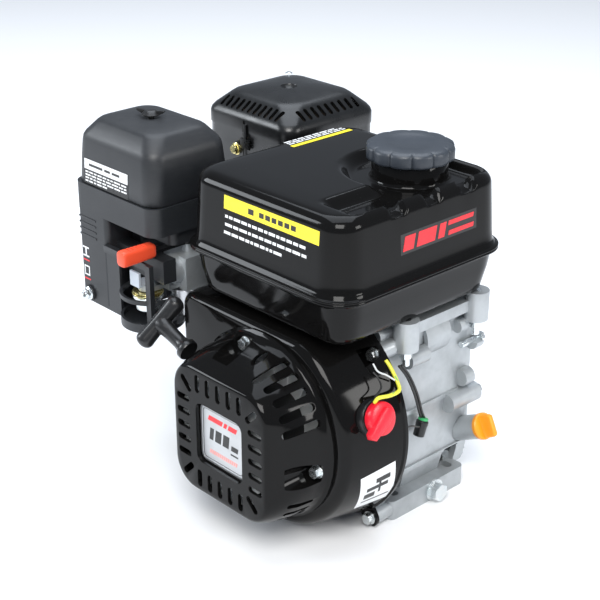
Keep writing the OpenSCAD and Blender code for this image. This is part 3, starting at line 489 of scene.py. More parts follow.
def eased(node, finish=None, bevel=0.7):
    """A CAD node's shape with merged corners, flat regions joined, and rounded edges.
    It stands for the node."""
    bm = bmesh.new()
    bm.from_mesh(frame["nodes"][node].data)
    bmesh.ops.remove_doubles(bm, verts=bm.verts, dist=2e-6)
    bmesh.ops.dissolve_limit(bm, angle_limit=math.radians(0.8), verts=bm.verts, edges=bm.edges)
    mesh = bpy.data.meshes.new(node)
    bm.to_mesh(mesh)
    bm.free()
    mesh.transform(Matrix.Scale(1 / MM, 4))
    return show(node + "_finished", Solid.of(mesh), finish or slot_of_node[node], body_of_node[node],
                [node], bevel, 32)


def polar_hull(points, angles):
    """Distance from the crank axis to the convex hull of points, at each angle:
    the least over its edges of n.p / n.u."""
    hull = np.asarray(points)[convex_hull_2d([tuple(p) for p in points])]
    edge = np.roll(hull, -1, 0) - hull
    normal = np.stack([edge[:, 1], -edge[:, 0]], 1)
    reach = ((hull - CRANK) * normal).sum(1)
    normal, reach = normal * np.sign(reach)[:, None], np.abs(reach)
    u = np.stack([np.cos(angles), np.sin(angles)], 1)
    slope = u @ normal.T
    slope[slope < 1e-9] = 1e-9
    return (reach / slope).min(1)


def radial(angle, y, distance=0.0):
    """A frame on the crankcase side:
    its origin is distance out from the crank axis at an angle, z points outwards and x along +Y."""
    a = math.radians(angle)
    out = (math.cos(a), 0, math.sin(a))
    return at((CRANK[0] + distance * out[0], y, CRANK[1] + distance * out[2]), out, (0, 1, 0))


def along_y(x, y, z):
    """A frame whose z points along +Y."""
    return at((x, y, z), (0, 1, 0), (1, 0, 0))


def spin(degrees, axis="Z"):
    """A turn by some degrees about a local axis."""
    return Matrix.Rotation(math.radians(degrees), 4, axis)


def slot_cutter(place, length, width, low, high):
    """A long hole's body: a rectangle with half-round ends, carried along z."""
    return prism(rounded(length, width, width / 2 - 0.01, 6), low, high, place)


def screw(name, x, y, z, out, size, finish="zinc", cross=False):
    """A flanged head: six-sided with a rounded top, or with cross a round one with a driver recess."""
    place = at((x, y, z), out, (0, 1, 0) if abs(out[1]) < 0.9 else (1, 0, 0))
    flange = turned([(size * 1.15, 0.05), (size * 1.15, size * 0.12), (size * 0.95, size * 0.26),
                     (size * 0.5, size * 0.3)], place, 32)
    if cross:
        head = turned([(size * 0.85, 0.05), (size * 0.82, size * 0.25), (size * 0.6, size * 0.48),
                       (size * 0.2, size * 0.56)], place, 32)
        for turn in (0, math.pi / 2):
            head = head - prism(rounded(size, size * 0.22, 0.05), size * 0.3, size,
                                place @ Matrix.Rotation(turn, 4, "Z"))
    else:
        head = prism(disc(size * 0.92, 6), size * 0.1, size * 0.95, place)
        head = head & turned([(size * 1.2, -1), (size * 1.2, size * 0.45), (size * 0.62, size * 0.95),
                              (size * 0.4, size * 0.96)], place, 32)
    show(name, head + flange, finish, bevel=0.25, angle=30, segments=1)


# ---------------------------------------------------------------- blower and starter
COVER_FRONT, COVER_BACK = -135.5, -69.0
COVER_LOW, COVER_HIGH = 3.0, 199.0
STARTER_FACE = along_y(CRANK[0], -192, CRANK[1])
BLOWER_HOLE = 72.0
EAR_ROUND = 9.0
POSTS = ((86.0, 179.0), (86.0, 10.0), (-113.0, 100.0), (-80.0, 12.0))
STARTER_BOLTS = (100, -9, 225)
BOLT_CIRCLE, BOLT_SEAT = 79.0, -145.6


def blower_outline(radius, angles):
    """The blower's outline:
    a circle cut off at the lowest and highest planes, pulled out to three rounds of the duct."""
    a = np.linspace(0, 2 * math.pi, 361)
    ring = CRANK + radius * np.stack([np.cos(a), np.sin(a)], 1)
    ring = ring[(ring[:, 1] > COVER_LOW) & (ring[:, 1] < COVER_HIGH)]
    corners = [(CRANK[0] + s * math.sqrt(radius**2 - (z - CRANK[1]) ** 2), z)
               for z in (COVER_LOW, COVER_HIGH) if radius > abs(z - CRANK[1]) for s in (-1, 1)]
    rounds = [np.array(c) + disc(r, 48) for c, r in (((-92, COVER_HIGH - 14), 14), ((-92, 126), 14),
                                                     ((-60, 24), 20))]
    return polar_hull(np.concatenate([ring, *rounds, corners]), angles)


def blower_surface(angles, y):
    """Outer distance from the crank axis at an angle and depth:
    it grows evenly from the front outline to the rear one."""
    front, rear = blower_outline(101, angles), blower_outline(113, angles)
    return front + (rear - front) * ((y - COVER_FRONT) / (COVER_BACK - COVER_FRONT))


def polar_loop(distance, angles, y):
    """The closed outline at a depth whose points lie at the given distances and angles from the crank axis."""
    return np.stack([CRANK[0] + distance * np.cos(angles), np.full(len(angles), y),
                     CRANK[1] + distance * np.sin(angles)], 1)


def blower():
    """Fan cover:
    front face with a wide hole, a round shoulder, a drafted wall, a turned-out rear rim, pockets for its
    bolts."""
    angles = np.linspace(0, 2 * math.pi, 240, endpoint=False)
    shoulder = 9.0
    t = np.linspace(0, math.pi / 2, 8)
    skin = [(BLOWER_HOLE + 0 * angles, COVER_FRONT), (86.0 + 0 * angles, COVER_FRONT)]
    for turn in t:
        y = COVER_FRONT + shoulder * (1 - math.cos(turn))
        skin.append((blower_surface(angles, y) - shoulder * (1 - math.sin(turn)) - 1.0, y))
    for y in (-110.0, -90.0, -74.0):
        skin.append((blower_surface(angles, y) - 1.0, y))
    rim = blower_surface(angles, COVER_BACK)
    skin += [(rim - 0.1, -72.6), (rim, -71.5), (rim - 0.2, COVER_BACK)]
    outer = loft([polar_loop(d, angles, y) for d, y in skin])
    wall = 3.0
    inner_skin = [(blower_surface(angles, COVER_FRONT + wall) - 12, COVER_FRONT + wall),
                  (blower_surface(angles, COVER_FRONT + 12) - wall - 1, COVER_FRONT + 12),
                  (rim - wall - 1, COVER_BACK + 4)]
    hollow = loft([polar_loop(d, angles, y) for d, y in inner_skin])
    bosses = together([prism(disc(12.5, 32), -112 - COVER_BACK, 6, along_y(x, COVER_BACK, z))
                       for x, z in POSTS])
    body = outer - (hollow - bosses)
    for x, z in (POSTS[1], POSTS[3]):
        out = np.array([x, z]) - CRANK
        out /= np.linalg.norm(out)
        back = np.array([x, z]) - 26 * out
        pts = np.concatenate([np.array([x, z]) + disc(EAR_ROUND, 32), back + disc(EAR_ROUND * 1.2, 32)])
        pts = pts[convex_hull_2d([tuple(p) for p in pts])] - (x, z)
        pts = np.clip(pts, (-200, COVER_LOW - z - 0.9), (200, 200))
        ear = prism(pts, 0, 3.2, at((x, COVER_BACK, z), (0, -1, 0), (1, 0, 0)))
        body = body + ear
    holes = [prism(disc(10.0, 32), far, -3.2, along_y(x, COVER_BACK, z))
             for (x, z), far in zip(POSTS, (-24, -80, -80, -80))]
    holes.append(prism(disc(BLOWER_HOLE, 96), -20, 20, along_y(CRANK[0], COVER_FRONT, CRANK[1])))
    holes.append(prism(disc(7, 24), -10, 20, at((-97, -82, 190))))
    for cutter in holes:
        body = body - cutter
    return show("blower_cover", body, "black_enamel", "root", ["fan_cover"], 0.7, 38, 2)


def starter_loop(y, half, radius):
    """The starter's outline at a depth: a rounded square of a half width about the crank axis."""
    return np.insert(rounded(2 * half, 2 * half, radius * 0.999, 10), 1, y, 1) + (CRANK[0], 0, CRANK[1])


def bolt_taper(angle, profile):
    """A round taper about a starter bolt: a profile of (radius, height) pairs turned about its axis."""
    a = math.radians(angle)
    place = along_y(CRANK[0] + BOLT_CIRCLE * math.cos(a), BOLT_SEAT, CRANK[1] + BOLT_CIRCLE * math.sin(a))
    return turned(profile, place, 32)


def starter():
    """Starter housing:
    circle to rounded square in even steps, hollow, with a label pocket, face slots, side louvres and
    scalloped bolt pockets."""
    steps = [(-135.6, 90, 90), (-138.4, 90, 90), (-139.4, 88.2, 88), (-141, 86, 84), (-150, 82.2, 74),
             (-162, 77.6, 60), (-174, 72.0, 46), (-183, 66.8, 34), (-187.5, 63.9, 28.5), (-190.3, 62.2, 26),
             (-191.5, 60.9, 25), (-192, 59.4, 24)]
    outer = loft([starter_loop(*s) for s in steps])
    inner = [(-134, 84, 83.9), (-141, 82, 80), (-150, 79, 70), (-162, 74.4, 57), (-174, 68.8, 43),
             (-183, 63.6, 31), (-188.6, 60.6, 27)]
    hollow = loft([starter_loop(*s) for s in inner])
    tray = prism(rounded(68, 66, 5), -10, 8, STARTER_FACE)
    spindle = prism(disc(8, 24), 4, 34, STARTER_FACE)
    hollow = hollow - tray - spindle
    for a in STARTER_BOLTS:
        hollow = hollow - bolt_taper(a, [(15.6, -34), (15.0, -20), (12.6, 0), (12.6, 14)])
    body = outer - hollow
    for a in STARTER_BOLTS:
        body = body - bolt_taper(a, [(12.6, -32), (12.0, -20), (9.6, 0)])
    body = body - prism(rounded(62, 60, 8), -10, 5.6, STARTER_FACE)
    slots = [(90 * q, 48, 14 * i, 17.5) for q in range(4) for i in range(-2, 3)]
    slots += [(45 + 90 * q, 61.5, 0, 18) for q in range(4)]
    cuts = [slot_cutter(STARTER_FACE @ spin(turn) @ Matrix.Translation((out, across, 0)), length, 6.2, -4, 7)
            for turn, out, across, length in slots]
    body = body - together(cuts)
    louvres = [slot_cutter(radial(a, -161.5), 36, 7.2, 60, 100) for a in (24, 34, 44, 54, 64)]
    louvres += [slot_cutter(radial(a, -160.5), 27, 5.0, 60, 100) for a in (-31, -39, -47)]
    louvres += [slot_cutter(radial(a, -160.5), 27, 5.0, 60, 100)
                for a in (158, 168, 178, 188, 198, 262, 272, 282)]
    body = body - together(louvres)
    dent = turned([(0.2, -17), (3.6, -8), (4.6, 0), (3.6, 9), (0.2, 17)], at((0, 0, 0), (1, 0, 0), (0, 1, 0)),
                  20)
    body = body - dent.moved(radial(77.5, -158, 80.0))
    body = body - grip_socket()
    return show("starter_housing", body, "black_enamel", "root", ["recoil_housing"], 0.8, 38, 2)


PULL_FROM = Vector((-51.0, -170.0, 165.0))
PULL_TILT = math.radians(20)
GRIP_SWING = math.radians(40)
GRIP_HALF = 28.0


def pull_frame():
    """The grip's frame: z along its stem, out of the guide."""
    return Matrix.Translation(PULL_FROM) @ Matrix.Rotation(PULL_TILT - math.pi / 2, 4, "Y")


def grip_socket():
    """The hollow that the grip's collar rests in, and the hole of its rope."""
    wide = turned([(12.5, -6), (12.5, 30), (16, 42)], pull_frame(), 32)
    narrow = prism(disc(6, 24), -30, 0, pull_frame())
    return wide + narrow


def grip():
    """Pull grip: a necked stem with a collar, and a bar of ten-sided section with swelling ends."""
    place = pull_frame()
    stem = turned([(2.6, 0), (9.5, 0), (10, 1), (10, 5), (9.2, 6), (7.2, 8), (6.6, 14), (6.8, 24), (7.6, 33),
                   (9.0, 39), (7.0, 44)], place, 40)
    across = place @ Matrix.Translation((0, 0, 44)) @ Matrix.Rotation(GRIP_SWING, 4, "Z")
    x = np.linspace(-1, 1, 25)
    half = GRIP_HALF * np.sin(x * math.pi / 2)
    end = np.sqrt(np.clip(1 - np.clip((np.abs(half) - 21.5) / 6.6, 0, 1) ** 2, 0.04, 1))
    thick = (8.2 + 1.25 * (half / GRIP_HALF) ** 2) * end
    bar = loft([level(disc(1.0, 40, 10, 0.02) * r * (1.0, 0.93), h)
                for r, h in zip(thick, half)]).moved(across @ spin(90, "Y"))
    ribs = together([prism(rounded(3.2, 0.9, 0.4), 6.4, 8.3,
                           across @ spin(t, "X") @ Matrix.Translation((s, 0, 0))) for t in (60, -60)
                           for s in (-5, 0, 5)])
    body = stem + bar
    show("pull_handle", body, "black_plastic", "grip", ["pull_grip"], 0.4, 40, 2)
    show("pull_handle_marks", ribs, "black_plastic", "grip", (), 0.2, 40, 1)


def nameplate():
    """Square plate with a raised rim and plain bars, and the reel's teeth behind the louvres."""
    place = at((CRANK[0], -186, CRANK[1]), (0, -1, 0), (1, 0, 0))
    plate = prism(rounded(60, 57, 7), 0, 1.5, place, 0.4) - prism(rounded(55, 52, 5), 1.2, 3, place)
    show("name_plate", plate, "badge", "root", ["badge_plate"], 0.25, 35, 2)
    line = prism(rounded(53, 50, 4.4), 1.16, 1.28, place) - prism(rounded(52, 49, 4.0), 1, 2, place)
    show("name_plate_line", line, "ink_black")

    def bar(x, z, w, h, slant=0.0):
        pts = np.array([(x - w / 2 - slant, z - h / 2), (x + w / 2 - slant, z - h / 2),
                        (x + w / 2 + slant, z + h / 2), (x - w / 2 + slant, z + h / 2)])
        return prism(pts, 1.1, 1.33, place)

    show("name_plate_red", together([bar(-9.5, 17, 19, 5.0, 1), bar(4, 17, 4, 5.0, 1),
                                     bar(13.5, 17, 11, 5.0, 1)]), "ink_red")
    dark = [bar(-15, 1.5, 5, 12, 0.8), bar(-6, 1.5, 8, 12, 0.8), bar(4.5, 1.5, 8, 12, 0.8),
            bar(16, -2.0, 9, 5, 0.4), bar(15.5, -8.5, 10, 1.6)]
    show("name_plate_dark", together(dark), "ink_black")
    teeth = [prism(rounded(3.4, 4.0, 0.3), 9.5, 20, STARTER_FACE @ spin(5 * k) @ Matrix.Translation((60, 0, 0)))
             for k in range(72)]
    show("reel_teeth", together(teeth), "light_plastic", body_of_node["starter_reel"])
    show("name_plate_stripe", together([bar(-17 + 2.7 * i, -16.5, 2.0, 4.0, 0.5) for i in range(14)]),
         "ink_pink")


# ---------------------------------------------------------------- tank
TANK = np.array([6.5, -32.0])  # middle of the tank, seen from above
TANK_WIDE, TANK_LONG = 213.0, 220.0
CAP = np.array([44.0, 12.0])
LIP_DIPS = (-64.0, -21.0, 23.0)
TANK_POINTS = 240
SHOULDER, CROWN = 309.0, 321.5


def tank_outline(inset):
    """Rounded rectangle by angle about the tank's middle: the corner round shrinks with the inset."""
    w, l, r = TANK_WIDE / 2 - inset, TANK_LONG / 2 - inset, max(31 - 0.75 * inset, 8)
    a = np.linspace(0, 2 * math.pi, TANK_POINTS, endpoint=False)
    u = np.stack([np.cos(a), np.sin(a)], 1)
    flat = np.minimum(w / np.maximum(np.abs(u[:, 0]), 1e-9), l / np.maximum(np.abs(u[:, 1]), 1e-9))
    corner = np.array([w - r, l - r])
    along = np.abs(u) @ corner
    away = along**2 - corner @ corner + r * r
    round_ = along + np.sqrt(np.maximum(away, 0))
    p = np.abs(u) * flat[:, None]
    in_corner = (p[:, 0] > w - r) & (p[:, 1] > l - r)
    return TANK + u * np.where(in_corner, round_, flat)[:, None]


def ramp(value, low, high):
    """Smooth step: 0 below low, 1 above high, 3 t^2 - 2 t^3 between."""
    t = np.clip((value - low) / (high - low), 0, 1)
    return t * t * (3 - 2 * t)


def tank_sink(x, y):
    """How far the pressed top lies below the crown:
    a dish round the filler, a channel beside the right lip, three dips in it."""
    dish = 1 - ramp(np.hypot(x - CAP[0], y - CAP[1]), 52, 64)
    channel = ramp(x, 52, 64) * ramp(y, -112, -99)
    sunk = 10.0 * np.maximum(dish, channel) * (1 - ramp(y, 52, 63)) * (1 - ramp(x, 87, 96))
    for middle in LIP_DIPS:
        sunk = np.maximum(sunk, 7.0 * (1 - ramp(np.abs(y - middle), 6.5, 9.5)) * ramp(x, 78, 84))
    return sunk


def tank():
    """Two pressed shells on a rolled seam.
    One loft runs up the wall, over the crown lowered by tank_sink, up the neck and down inside it."""
    wall = [(26, 205.2), (19, 205.4), (15.5, 206.6), (13.3, 209.5), (12.2, 214), (8.0, 232), (6.2, 243),
            (5.2, 246.2), (3.4, 247.4), (0.6, 247.7), (0.05, 248.3), (0.0, 249.3), (0.5, 250.0), (0.0, 250.7),
            (0.05, 251.7), (0.6, 252.3), (2.6, 252.3), (3.3, 252.9), (3.6, 254.4), (4.6, 255.4), (5.4, 257),
            (6.0, 266), (7.1, 285), (8.6, SHOULDER)]
    t = np.linspace(0.12, 1, 9) * math.pi / 2
    wall += [(8.6 + 13 * (1 - math.cos(a)), SHOULDER + 12.4 * math.sin(a)) for a in t]
    loops = [level(tank_outline(i), z) for i, z in wall]
    inner = tank_outline(22)
    hole = CAP + disc(38.0, TANK_POINTS)
    turn = np.argmin(np.abs(np.arctan2(*(inner[0] - CAP)[::-1]) - np.arctan2(*(hole - CAP).T[::-1])))
    hole = np.roll(hole, -turn, 0)
    for share in 1 - (1 - np.linspace(0, 1, 44)[1:]) ** 1.15:
        p = inner + (hole - inner) * share
        loops.append(level(p, CROWN + 0.4 * math.sin(min(share * 4, 1) * math.pi / 2)))
    for loop in loops:
        high = loop[:, 2] > 300
        loop[:, 2] -= np.where(high, tank_sink(loop[:, 0], loop[:, 1]) * ramp(loop[:, 2], SHOULDER, 318), 0)
    neck = [(36.4, 312.2), (35.0, 313.6), (34.4, 316.5), (34.4, 329.4), (33.6, 330.5), (30.4, 330.7),
            (29.9, 331.4), (29.9, 338.0), (29.2, 338.6), (28.3, 338.2), (28.2, 300)]
    loops += [np.roll(level(CAP + disc(r, TANK_POINTS), z), -turn, 0) for r, z in neck]
    loops.append(loops[-1] * (1, 1, 0) + (0, 0, 207.5))
    show("tank_shells", loft(loops), "black_enamel", "root", ["fuel_tank"], 0, 50)


def words(x0, x1, z, height, seed):
    """A row of plain dashes of uneven lengths, as (x0, x1, z0, z1)."""
    random = np.random.default_rng(seed)
    x, row = x0, []
    while x < x1 - 3:
        length = float(random.uniform(3.0, 10.0))
        row.append((x, min(x + length, x1), z - height / 2, z + height / 2))
        x += length + 1.6
    return row


def patches(name, finish, place, boxes, low=0.05, high=0.22, slant=0.0, body="root"):
    """Thin printed rectangles on a plane, each leaning by slant."""
    made = []
    for x0, x1, z0, z1 in boxes:
        lean = slant * (z1 - z0) / 2
        made.append(prism(np.array([(x0 - lean, z0), (x1 - lean, z0), (x1 + lean, z1), (x0 + lean, z1)]), low,
                          high, place))
    return show(name, together(made), finish, body)


def tank_prints():
    """Generic bars and dashes where the tank carries its prints."""
    lean = math.atan2(1.0, 16.0)
    front = at((0, -134.85, 285), (0, -math.cos(lean), math.sin(lean)), (1, 0, 0))
    patches("tank_notice_bar", "ink_yellow", front, [(-40, 80, 11.5, 24)])
    marks = [(-8, -1, 15, 20)] + [(6 + 8 * i, 12 + 8 * i, 15.5, 20) for i in range(6)]
    patches("tank_notice_triangle", "ink_black", front, marks, 0.22, 0.3)
    rows = words(-38, 66, 5.0, 2.6, 3) + words(-38, 66, -2.4, 2.6, 4) + words(-39, 40, -9.8, 2.6, 5)
    patches("tank_notice_rows", "ink_white", front, rows)
    side = at((105.9, 0, 285), (math.cos(lean), 0, math.sin(lean)), (0, 1, 0))
    patches("tank_mark", "ink_red", side, [(-60, -47, -6.5, 6.5), (-43, -20, -6.5, 6.5), (-16, -8, -6.5, 6.5),
                                           (-4, 29, -6.5, -2.5), (-4, 29, 2.5, 6.5)], 0.05, 0.22, 0.25)
    patches("tank_mark_field", "ink_black", side, [(-64, 33, -9.2, 9.2)], 0.0, 0.05)
    top = at((0, 0, 321.95))
    patches("tank_top_bar", "ink_yellow", top, [(-71, -66, -27, 50)], 0.0, 0.14)
    patches("tank_top_rows", "ink_white", top @ spin(90),
            words(-25, 48, 74.5, 1.8, 7) + words(-25, 48, 78, 1.8, 8) + words(-25, 40, 81.5, 1.8, 9), 0.0, 0.14)


def filler_cap():
    """Fuel cap: twelve broad lobes parted by narrow grooves, a soft rim, and a disc sunk in its top."""
    edge = disc(1.0, 288, 12, 0.07, 0.42)
    profile = [(0.4, 340.2), (30.6, 340.2), (30.6, 331.3), (34, 331.1), (38.8, 331.3), (39.8, 332.2), (40, 334),
               (40, 340.8), (39.2, 342.8), (37.2, 344.1), (33, 344.9), (22.2, 345.7), (21.4, 345.2),
               (0.4, 345.5)]
    loops = []
    for r, z in profile:
        share = float(ramp(np.array(r), 31, 38))
        loops.append(level(CAP + (disc(1.0, 288) * (1 - share) + edge * share) * r, z))
    show("fuel_cap_lobed", loft(loops), "cap_plastic", body_of_node["fuel_cap"],
         ["fuel_cap"], 0.3, 50, 1)


# ---------------------------------------------------------------- muffler guard
GUARD = (-231.0, -104.0, 1.0, 125.0)
GUARD_MIDDLE = ((GUARD[0] + GUARD[1]) / 2, (GUARD[2] + GUARD[3]) / 2)
GUARD_SCREWS = ((-212, 101), (-164, 57))


def guard_loop(inset, z, radius):
    """The guard's outline at a height, drawn in by inset."""
    wide, long = GUARD[1] - GUARD[0] - 2 * inset, GUARD[3] - GUARD[2] - 2 * inset
    return level(rounded(wide, long, radius, 12) + GUARD_MIDDLE, z)


def guard():
    """Pressed guard: upright walls with a stepped seam, a slope with round-ended louvres, and a low dome."""
    skin = [(1.2, 228, 15), (1.2, 305.5, 15), (0.2, 307, 16), (0.2, 318, 16), (1.2, 321.5, 16), (3.4, 325, 17),
            (14.5, 336, 18), (17.5, 338.4, 18), (22, 340, 18), (34, 342.6, 18), (50, 344.3, 11)]
    under = [(3.2, 220, 13), (3.2, 319, 14), (5.6, 324, 15), (16.5, 334.5, 16), (22, 337.6, 16),
             (34, 340.4, 16), (50, 342, 10)]
    pads = together([prism(disc(11, 32), 334, 350, at((x, y, 0))) for x, y in GUARD_SCREWS])
    body = loft([guard_loop(*s) for s in skin]) - (loft([guard_loop(*s) for s in under]) - pads)
    cuts = []
    tilt = math.radians(45)
    for i in range(11):
        place = at((-208 + 8.1 * i, GUARD[2] + 9, 330.5), (0, -math.sin(tilt), math.cos(tilt)),
                   (0, math.cos(tilt), math.sin(tilt)))
        cuts.append(slot_cutter(place @ spin(-12), 13.5, 4.2, -6, 6))
    for i in range(9):
        place = at((GUARD[1] - 9, 26 + 9.2 * i, 330.5), (math.sin(tilt), 0, math.cos(tilt)),
                   (-math.cos(tilt), 0, math.sin(tilt)))
        cuts.append(slot_cutter(place @ spin(12), 13.5, 4.4, -6, 6))
    cuts.append(prism(disc(12, 32), -10, 10, at((-231, 40, 262), (1, 0, 0), (0, 1, 0))))
    cuts += [turned([(3.0, -3.2), (4.4, -2.4), (8.4, 1.0), (9.4, 3.4)], at((x, y, 342.8)), 32)
             for x, y in GUARD_SCREWS]
    body = body - together(cuts)
    show("guard_pressed", body, "satin_black", "root", ["muffler_guard"], 0.5, 38, 2)
    for k, (x, y) in enumerate(GUARD_SCREWS):
        screw(f"guard_screw_{k}", x, y, 339.6, (0, 0, 1), 3.4, cross=True)
    seam = together([block(-170.6, -169.8, 0.4, 1.4, 230, 306), block(-170.6, -169.8, 0.0, 1.0, 307, 319)])
    show("guard_seam", seam, "rubber")
    bracket = together([block(-174, -160, -0.2, 1.3, 290, 300), block(-169, -165, -0.2, 1.3, 300.1, 315)])
    show("guard_bracket", bracket, "satin_black", bevel=0.3)
    screw("guard_bolt", -181, 1.0, 287, (0, -1, 0), 5.6, "gold_zinc")


# ---------------------------------------------------------------- air cleaner
CLEANER = (-188.0, -98.5)  # middle of the air cleaner, seen from above


def cleaner_cover():
    """Cover: drafted walls, a broad slope and a slightly crowned top with a dimple round its nut."""
    def loop(inset, z, radius):
        return level(rounded(124.0 - 2 * inset, 99.0 - 2 * inset, radius, 12) + CLEANER, z)

    skin = [(0.4, 273.4, 17), (0.0, 274.2, 17), (1.4, 300, 17), (2.6, 315, 17), (3.4, 319.5, 17),
            (5.2, 323.2, 17), (13.4, 333.4, 16), (15.6, 335.4, 16), (19, 336.8, 15), (28, 338.6, 12),
            (39, 339.6, 8)]
    under = [(3, 272, 14), (4.4, 316, 14), (7, 321, 14), (17, 333, 13), (30, 336, 11), (39, 337, 7)]
    body = loft([loop(*s) for s in skin]) - loft([loop(*s) for s in under])
    body = body - turned([(3.04, -20), (3.04, -1.6), (9, -1.6), (13.5, 1.0), (15, 3)], at((*CLEANER, 339.6)),
                         40)
    body_name = body_of_node["air_cleaner_cover"]
    show("cleaner_cover", body, "grey_plastic", body_name,
         ["air_cleaner_cover"], 0.4, 40, 2)
    front = at((0, -147.5, 284.5), (0, -1, 0.054), (1, 0, 0))
    patches("cleaner_notice", "ink_black", front, [(-233, -163, -10.4, 14.5)], 0.0, 0.14, 0, body_name)
    patches("cleaner_notice_bar", "ink_white", front, [(-232.5, -163.5, 4, 14)], 0.14, 0.22, 0, body_name)
    patches("cleaner_notice_title", "ink_black", front, [(-225, -203, 7.8, 10.2), (-200, -191, 7.8, 10.2),
                                                         (-188, -176, 7.8, 10.2)], 0.22, 0.3, 0, body_name)
    rows = sum((words(-231, -165, z, 1.5, 20 + k) for k, z in enumerate((1.4, -1.6, -4.6))), []) + words(-231,
                                                                                                         -196,
                                                                                                         -7.6,
                                                                                                         1.5,
                                                                                                         30)
    patches("cleaner_notice_rows", "ink_white", front, rows, 0.14, 0.22, 0, body_name)


def wing():
    """Wing nut: a dished hub and two upright ears with a waist, their outline a rounded fan."""
    name, place = body_of_node["wing_nut"], at((*CLEANER, 341.3))
    hub = turned([(3.0, -6), (3.0, -0.2), (8.8, 0), (9, 0.8), (7.2, 2.6), (5.2, 4.6), (4.4, 4.8)], place, 40)
    ear = np.array([(2.5, 0.6), (9, 0.6), (13.2, 2.4), (15.0, 4.0), (14.4, 4.8), (11.0, 4.9), (7.0, 4.4),
                    (3.5, 3.4)])
    body = hub
    for turn in (25, 205):
        body = body + prism(ear, -1.5, 1.5, place @ spin(turn) @ spin(90, "X"))
    show("wing_nut_eared", body, "black_plastic", name, ["wing_nut"], 0.5, 40, 2)


def cleaner_details():
    """Ribs, prints and the stand-off's nut on the fixed half of the air cleaner."""
    ribs = together([block(-243, -216, -150.5, -149.5, 218.5 + 6.2 * i, 220.3 + 6.2 * i) for i in range(4)])
    show("elbow_ribs", ribs, "grey_plastic", bevel=0.3)
    face = at((-235.5, -150, 0), (0, -1, 0), (1, 0, 0))
    patches("elbow_prints", "ink_white", face, [(-5, 5, 196, 197.6), (-5, 5, 205, 206.6), (-1, 1, 197, 205),
                                                (-4.4, 4.4, 176, 177.4), (-4.4, 4.4, 185, 186.4),
                                                (3, 4.4, 177, 185), (-4.4, -3, 177, 185)])
    patches("elbow_prints_red", "ink_red", face, [(-5, 5, 191.6, 193.0), (-5, 5, 171.5, 172.9)])
    screw("elbow_nut", -232, -152.2, 158, (0, -1, 0), 6.0)
    stud = prism(disc(3, 20), 5, 9.4, at((-232, -152.2, 158), (0, -1, 0)), 0.6)
    show("elbow_stud", stud, "zinc")


# ---------------------------------------------------------------- carburettor side
def choke():
    """Choke bar: a tapered, round-ended block with grip ridges on its top, on a thin dark arm."""
    body = body_of_node["choke_lever"]
    outline = rounded(13, 15.6, 4.2, 8)
    loops = []
    for y, grow in ((-177, 0.72), (-176.4, 0.9), (-175, 0.985), (-172, 1.0), (-158, 0.97), (-143, 0.94),
                    (-140.5, 0.9), (-139.4, 0.8)):
        p = outline * grow + (-140, 229)
        loops.append(np.insert(p, 1, y, 1))
    bar = loft(loops)
    for k in range(5):
        bar = bar - prism(rounded(15, 2.0, 0.9), -1.0, 3, at((-140, -150 - 4.6 * k, 236.6)))
    show("choke_bar", bar, "choke_orange", body, ["choke_lever"], 0.7, 40, 2)
    arm = block(-144, -136, -142, -96, 225.3, 228.3, 3.5)
    shaft = prism(disc(2.96, 24), 192, 228, at((-140, -98, 0)))
    hub = prism(disc(7, 32), 225.3, 228.3, at((-140, -98, 0)), 0.6)
    show("choke_arm", arm + hub + shaft, "satin_black", body, (), 0.4, 40, 1)


COCK = at((-150, -140, 0))


def fuel_cock():
    """Fuel cock: cup with a rolled edge, gold-coloured washers, and a light lever with a winged tab."""
    cup = turned([(7, 165.4), (10.5, 165.2), (11.8, 166.4), (12, 170), (12, 176), (13.4, 177.2), (14.4, 178.2),
                  (14.4, 180.2), (13.0, 181.6), (12.0, 182)], COCK, 48)
    cup = cup - prism(disc(4, 24), 160, 190, COCK)
    show("sediment_bowl", cup, "zinc", body_of_node["sediment_cup"],
         ["sediment_cup"], 0.3, 40, 1)
    for k, (r, z) in enumerate(((15.2, 182.4), (14.2, 184.0))):
        ring = turned([(9.4, z), (r, z), (r + 0.3, z + 0.5), (r, z + 1.1), (9.4, z + 1.1)], COCK, 48)
        show(f"cock_washer_{k}", ring - prism(disc(9.2, 32), z - 1, z + 2, COCK), "gold_zinc")
    eased("fuel_cock_lever", "lever_plastic", 0.8)


def knob():
    """Stop switch: a red knob with a ribbed edge and a raised teardrop pointer."""
    place = radial(18, -102, 110.3)
    dial = turned([(13.6, 0), (14.8, 0.6), (15, 2), (15, 6.4), (14.4, 8.2), (12.8, 9)], place, 64)
    pointer = np.concatenate([np.array([(5.5 + 6.4 * math.cos(a), 6.4 * math.sin(a))
                                        for a in np.linspace(-math.pi / 2, math.pi / 2, 17)]),
                                        np.array([(-4, 6.2), (-14, 4.8), (-21.0, 4.0), (-23.0, 0),
                                                  (-21.0, -4.0), (-14, -4.8), (-4, -6.2)])])
    tip = prism(pointer, 4.0, 12.3, place @ spin(32), 1.2)
    show("stop_knob", dial + tip, "red_plastic", body_of_node["stop_switch"],
         ["stop_switch"], 0.8, 35, 2)
    collar = turned([(14.2, -8), (17.0, -8.4), (17.4, -4), (16.6, -0.8), (15.2, -0.5)], place,
                    64) - prism(disc(15.1, 48), -1, 3, place)
    show("knob_collar", collar, "black_plastic", bevel=0.3)


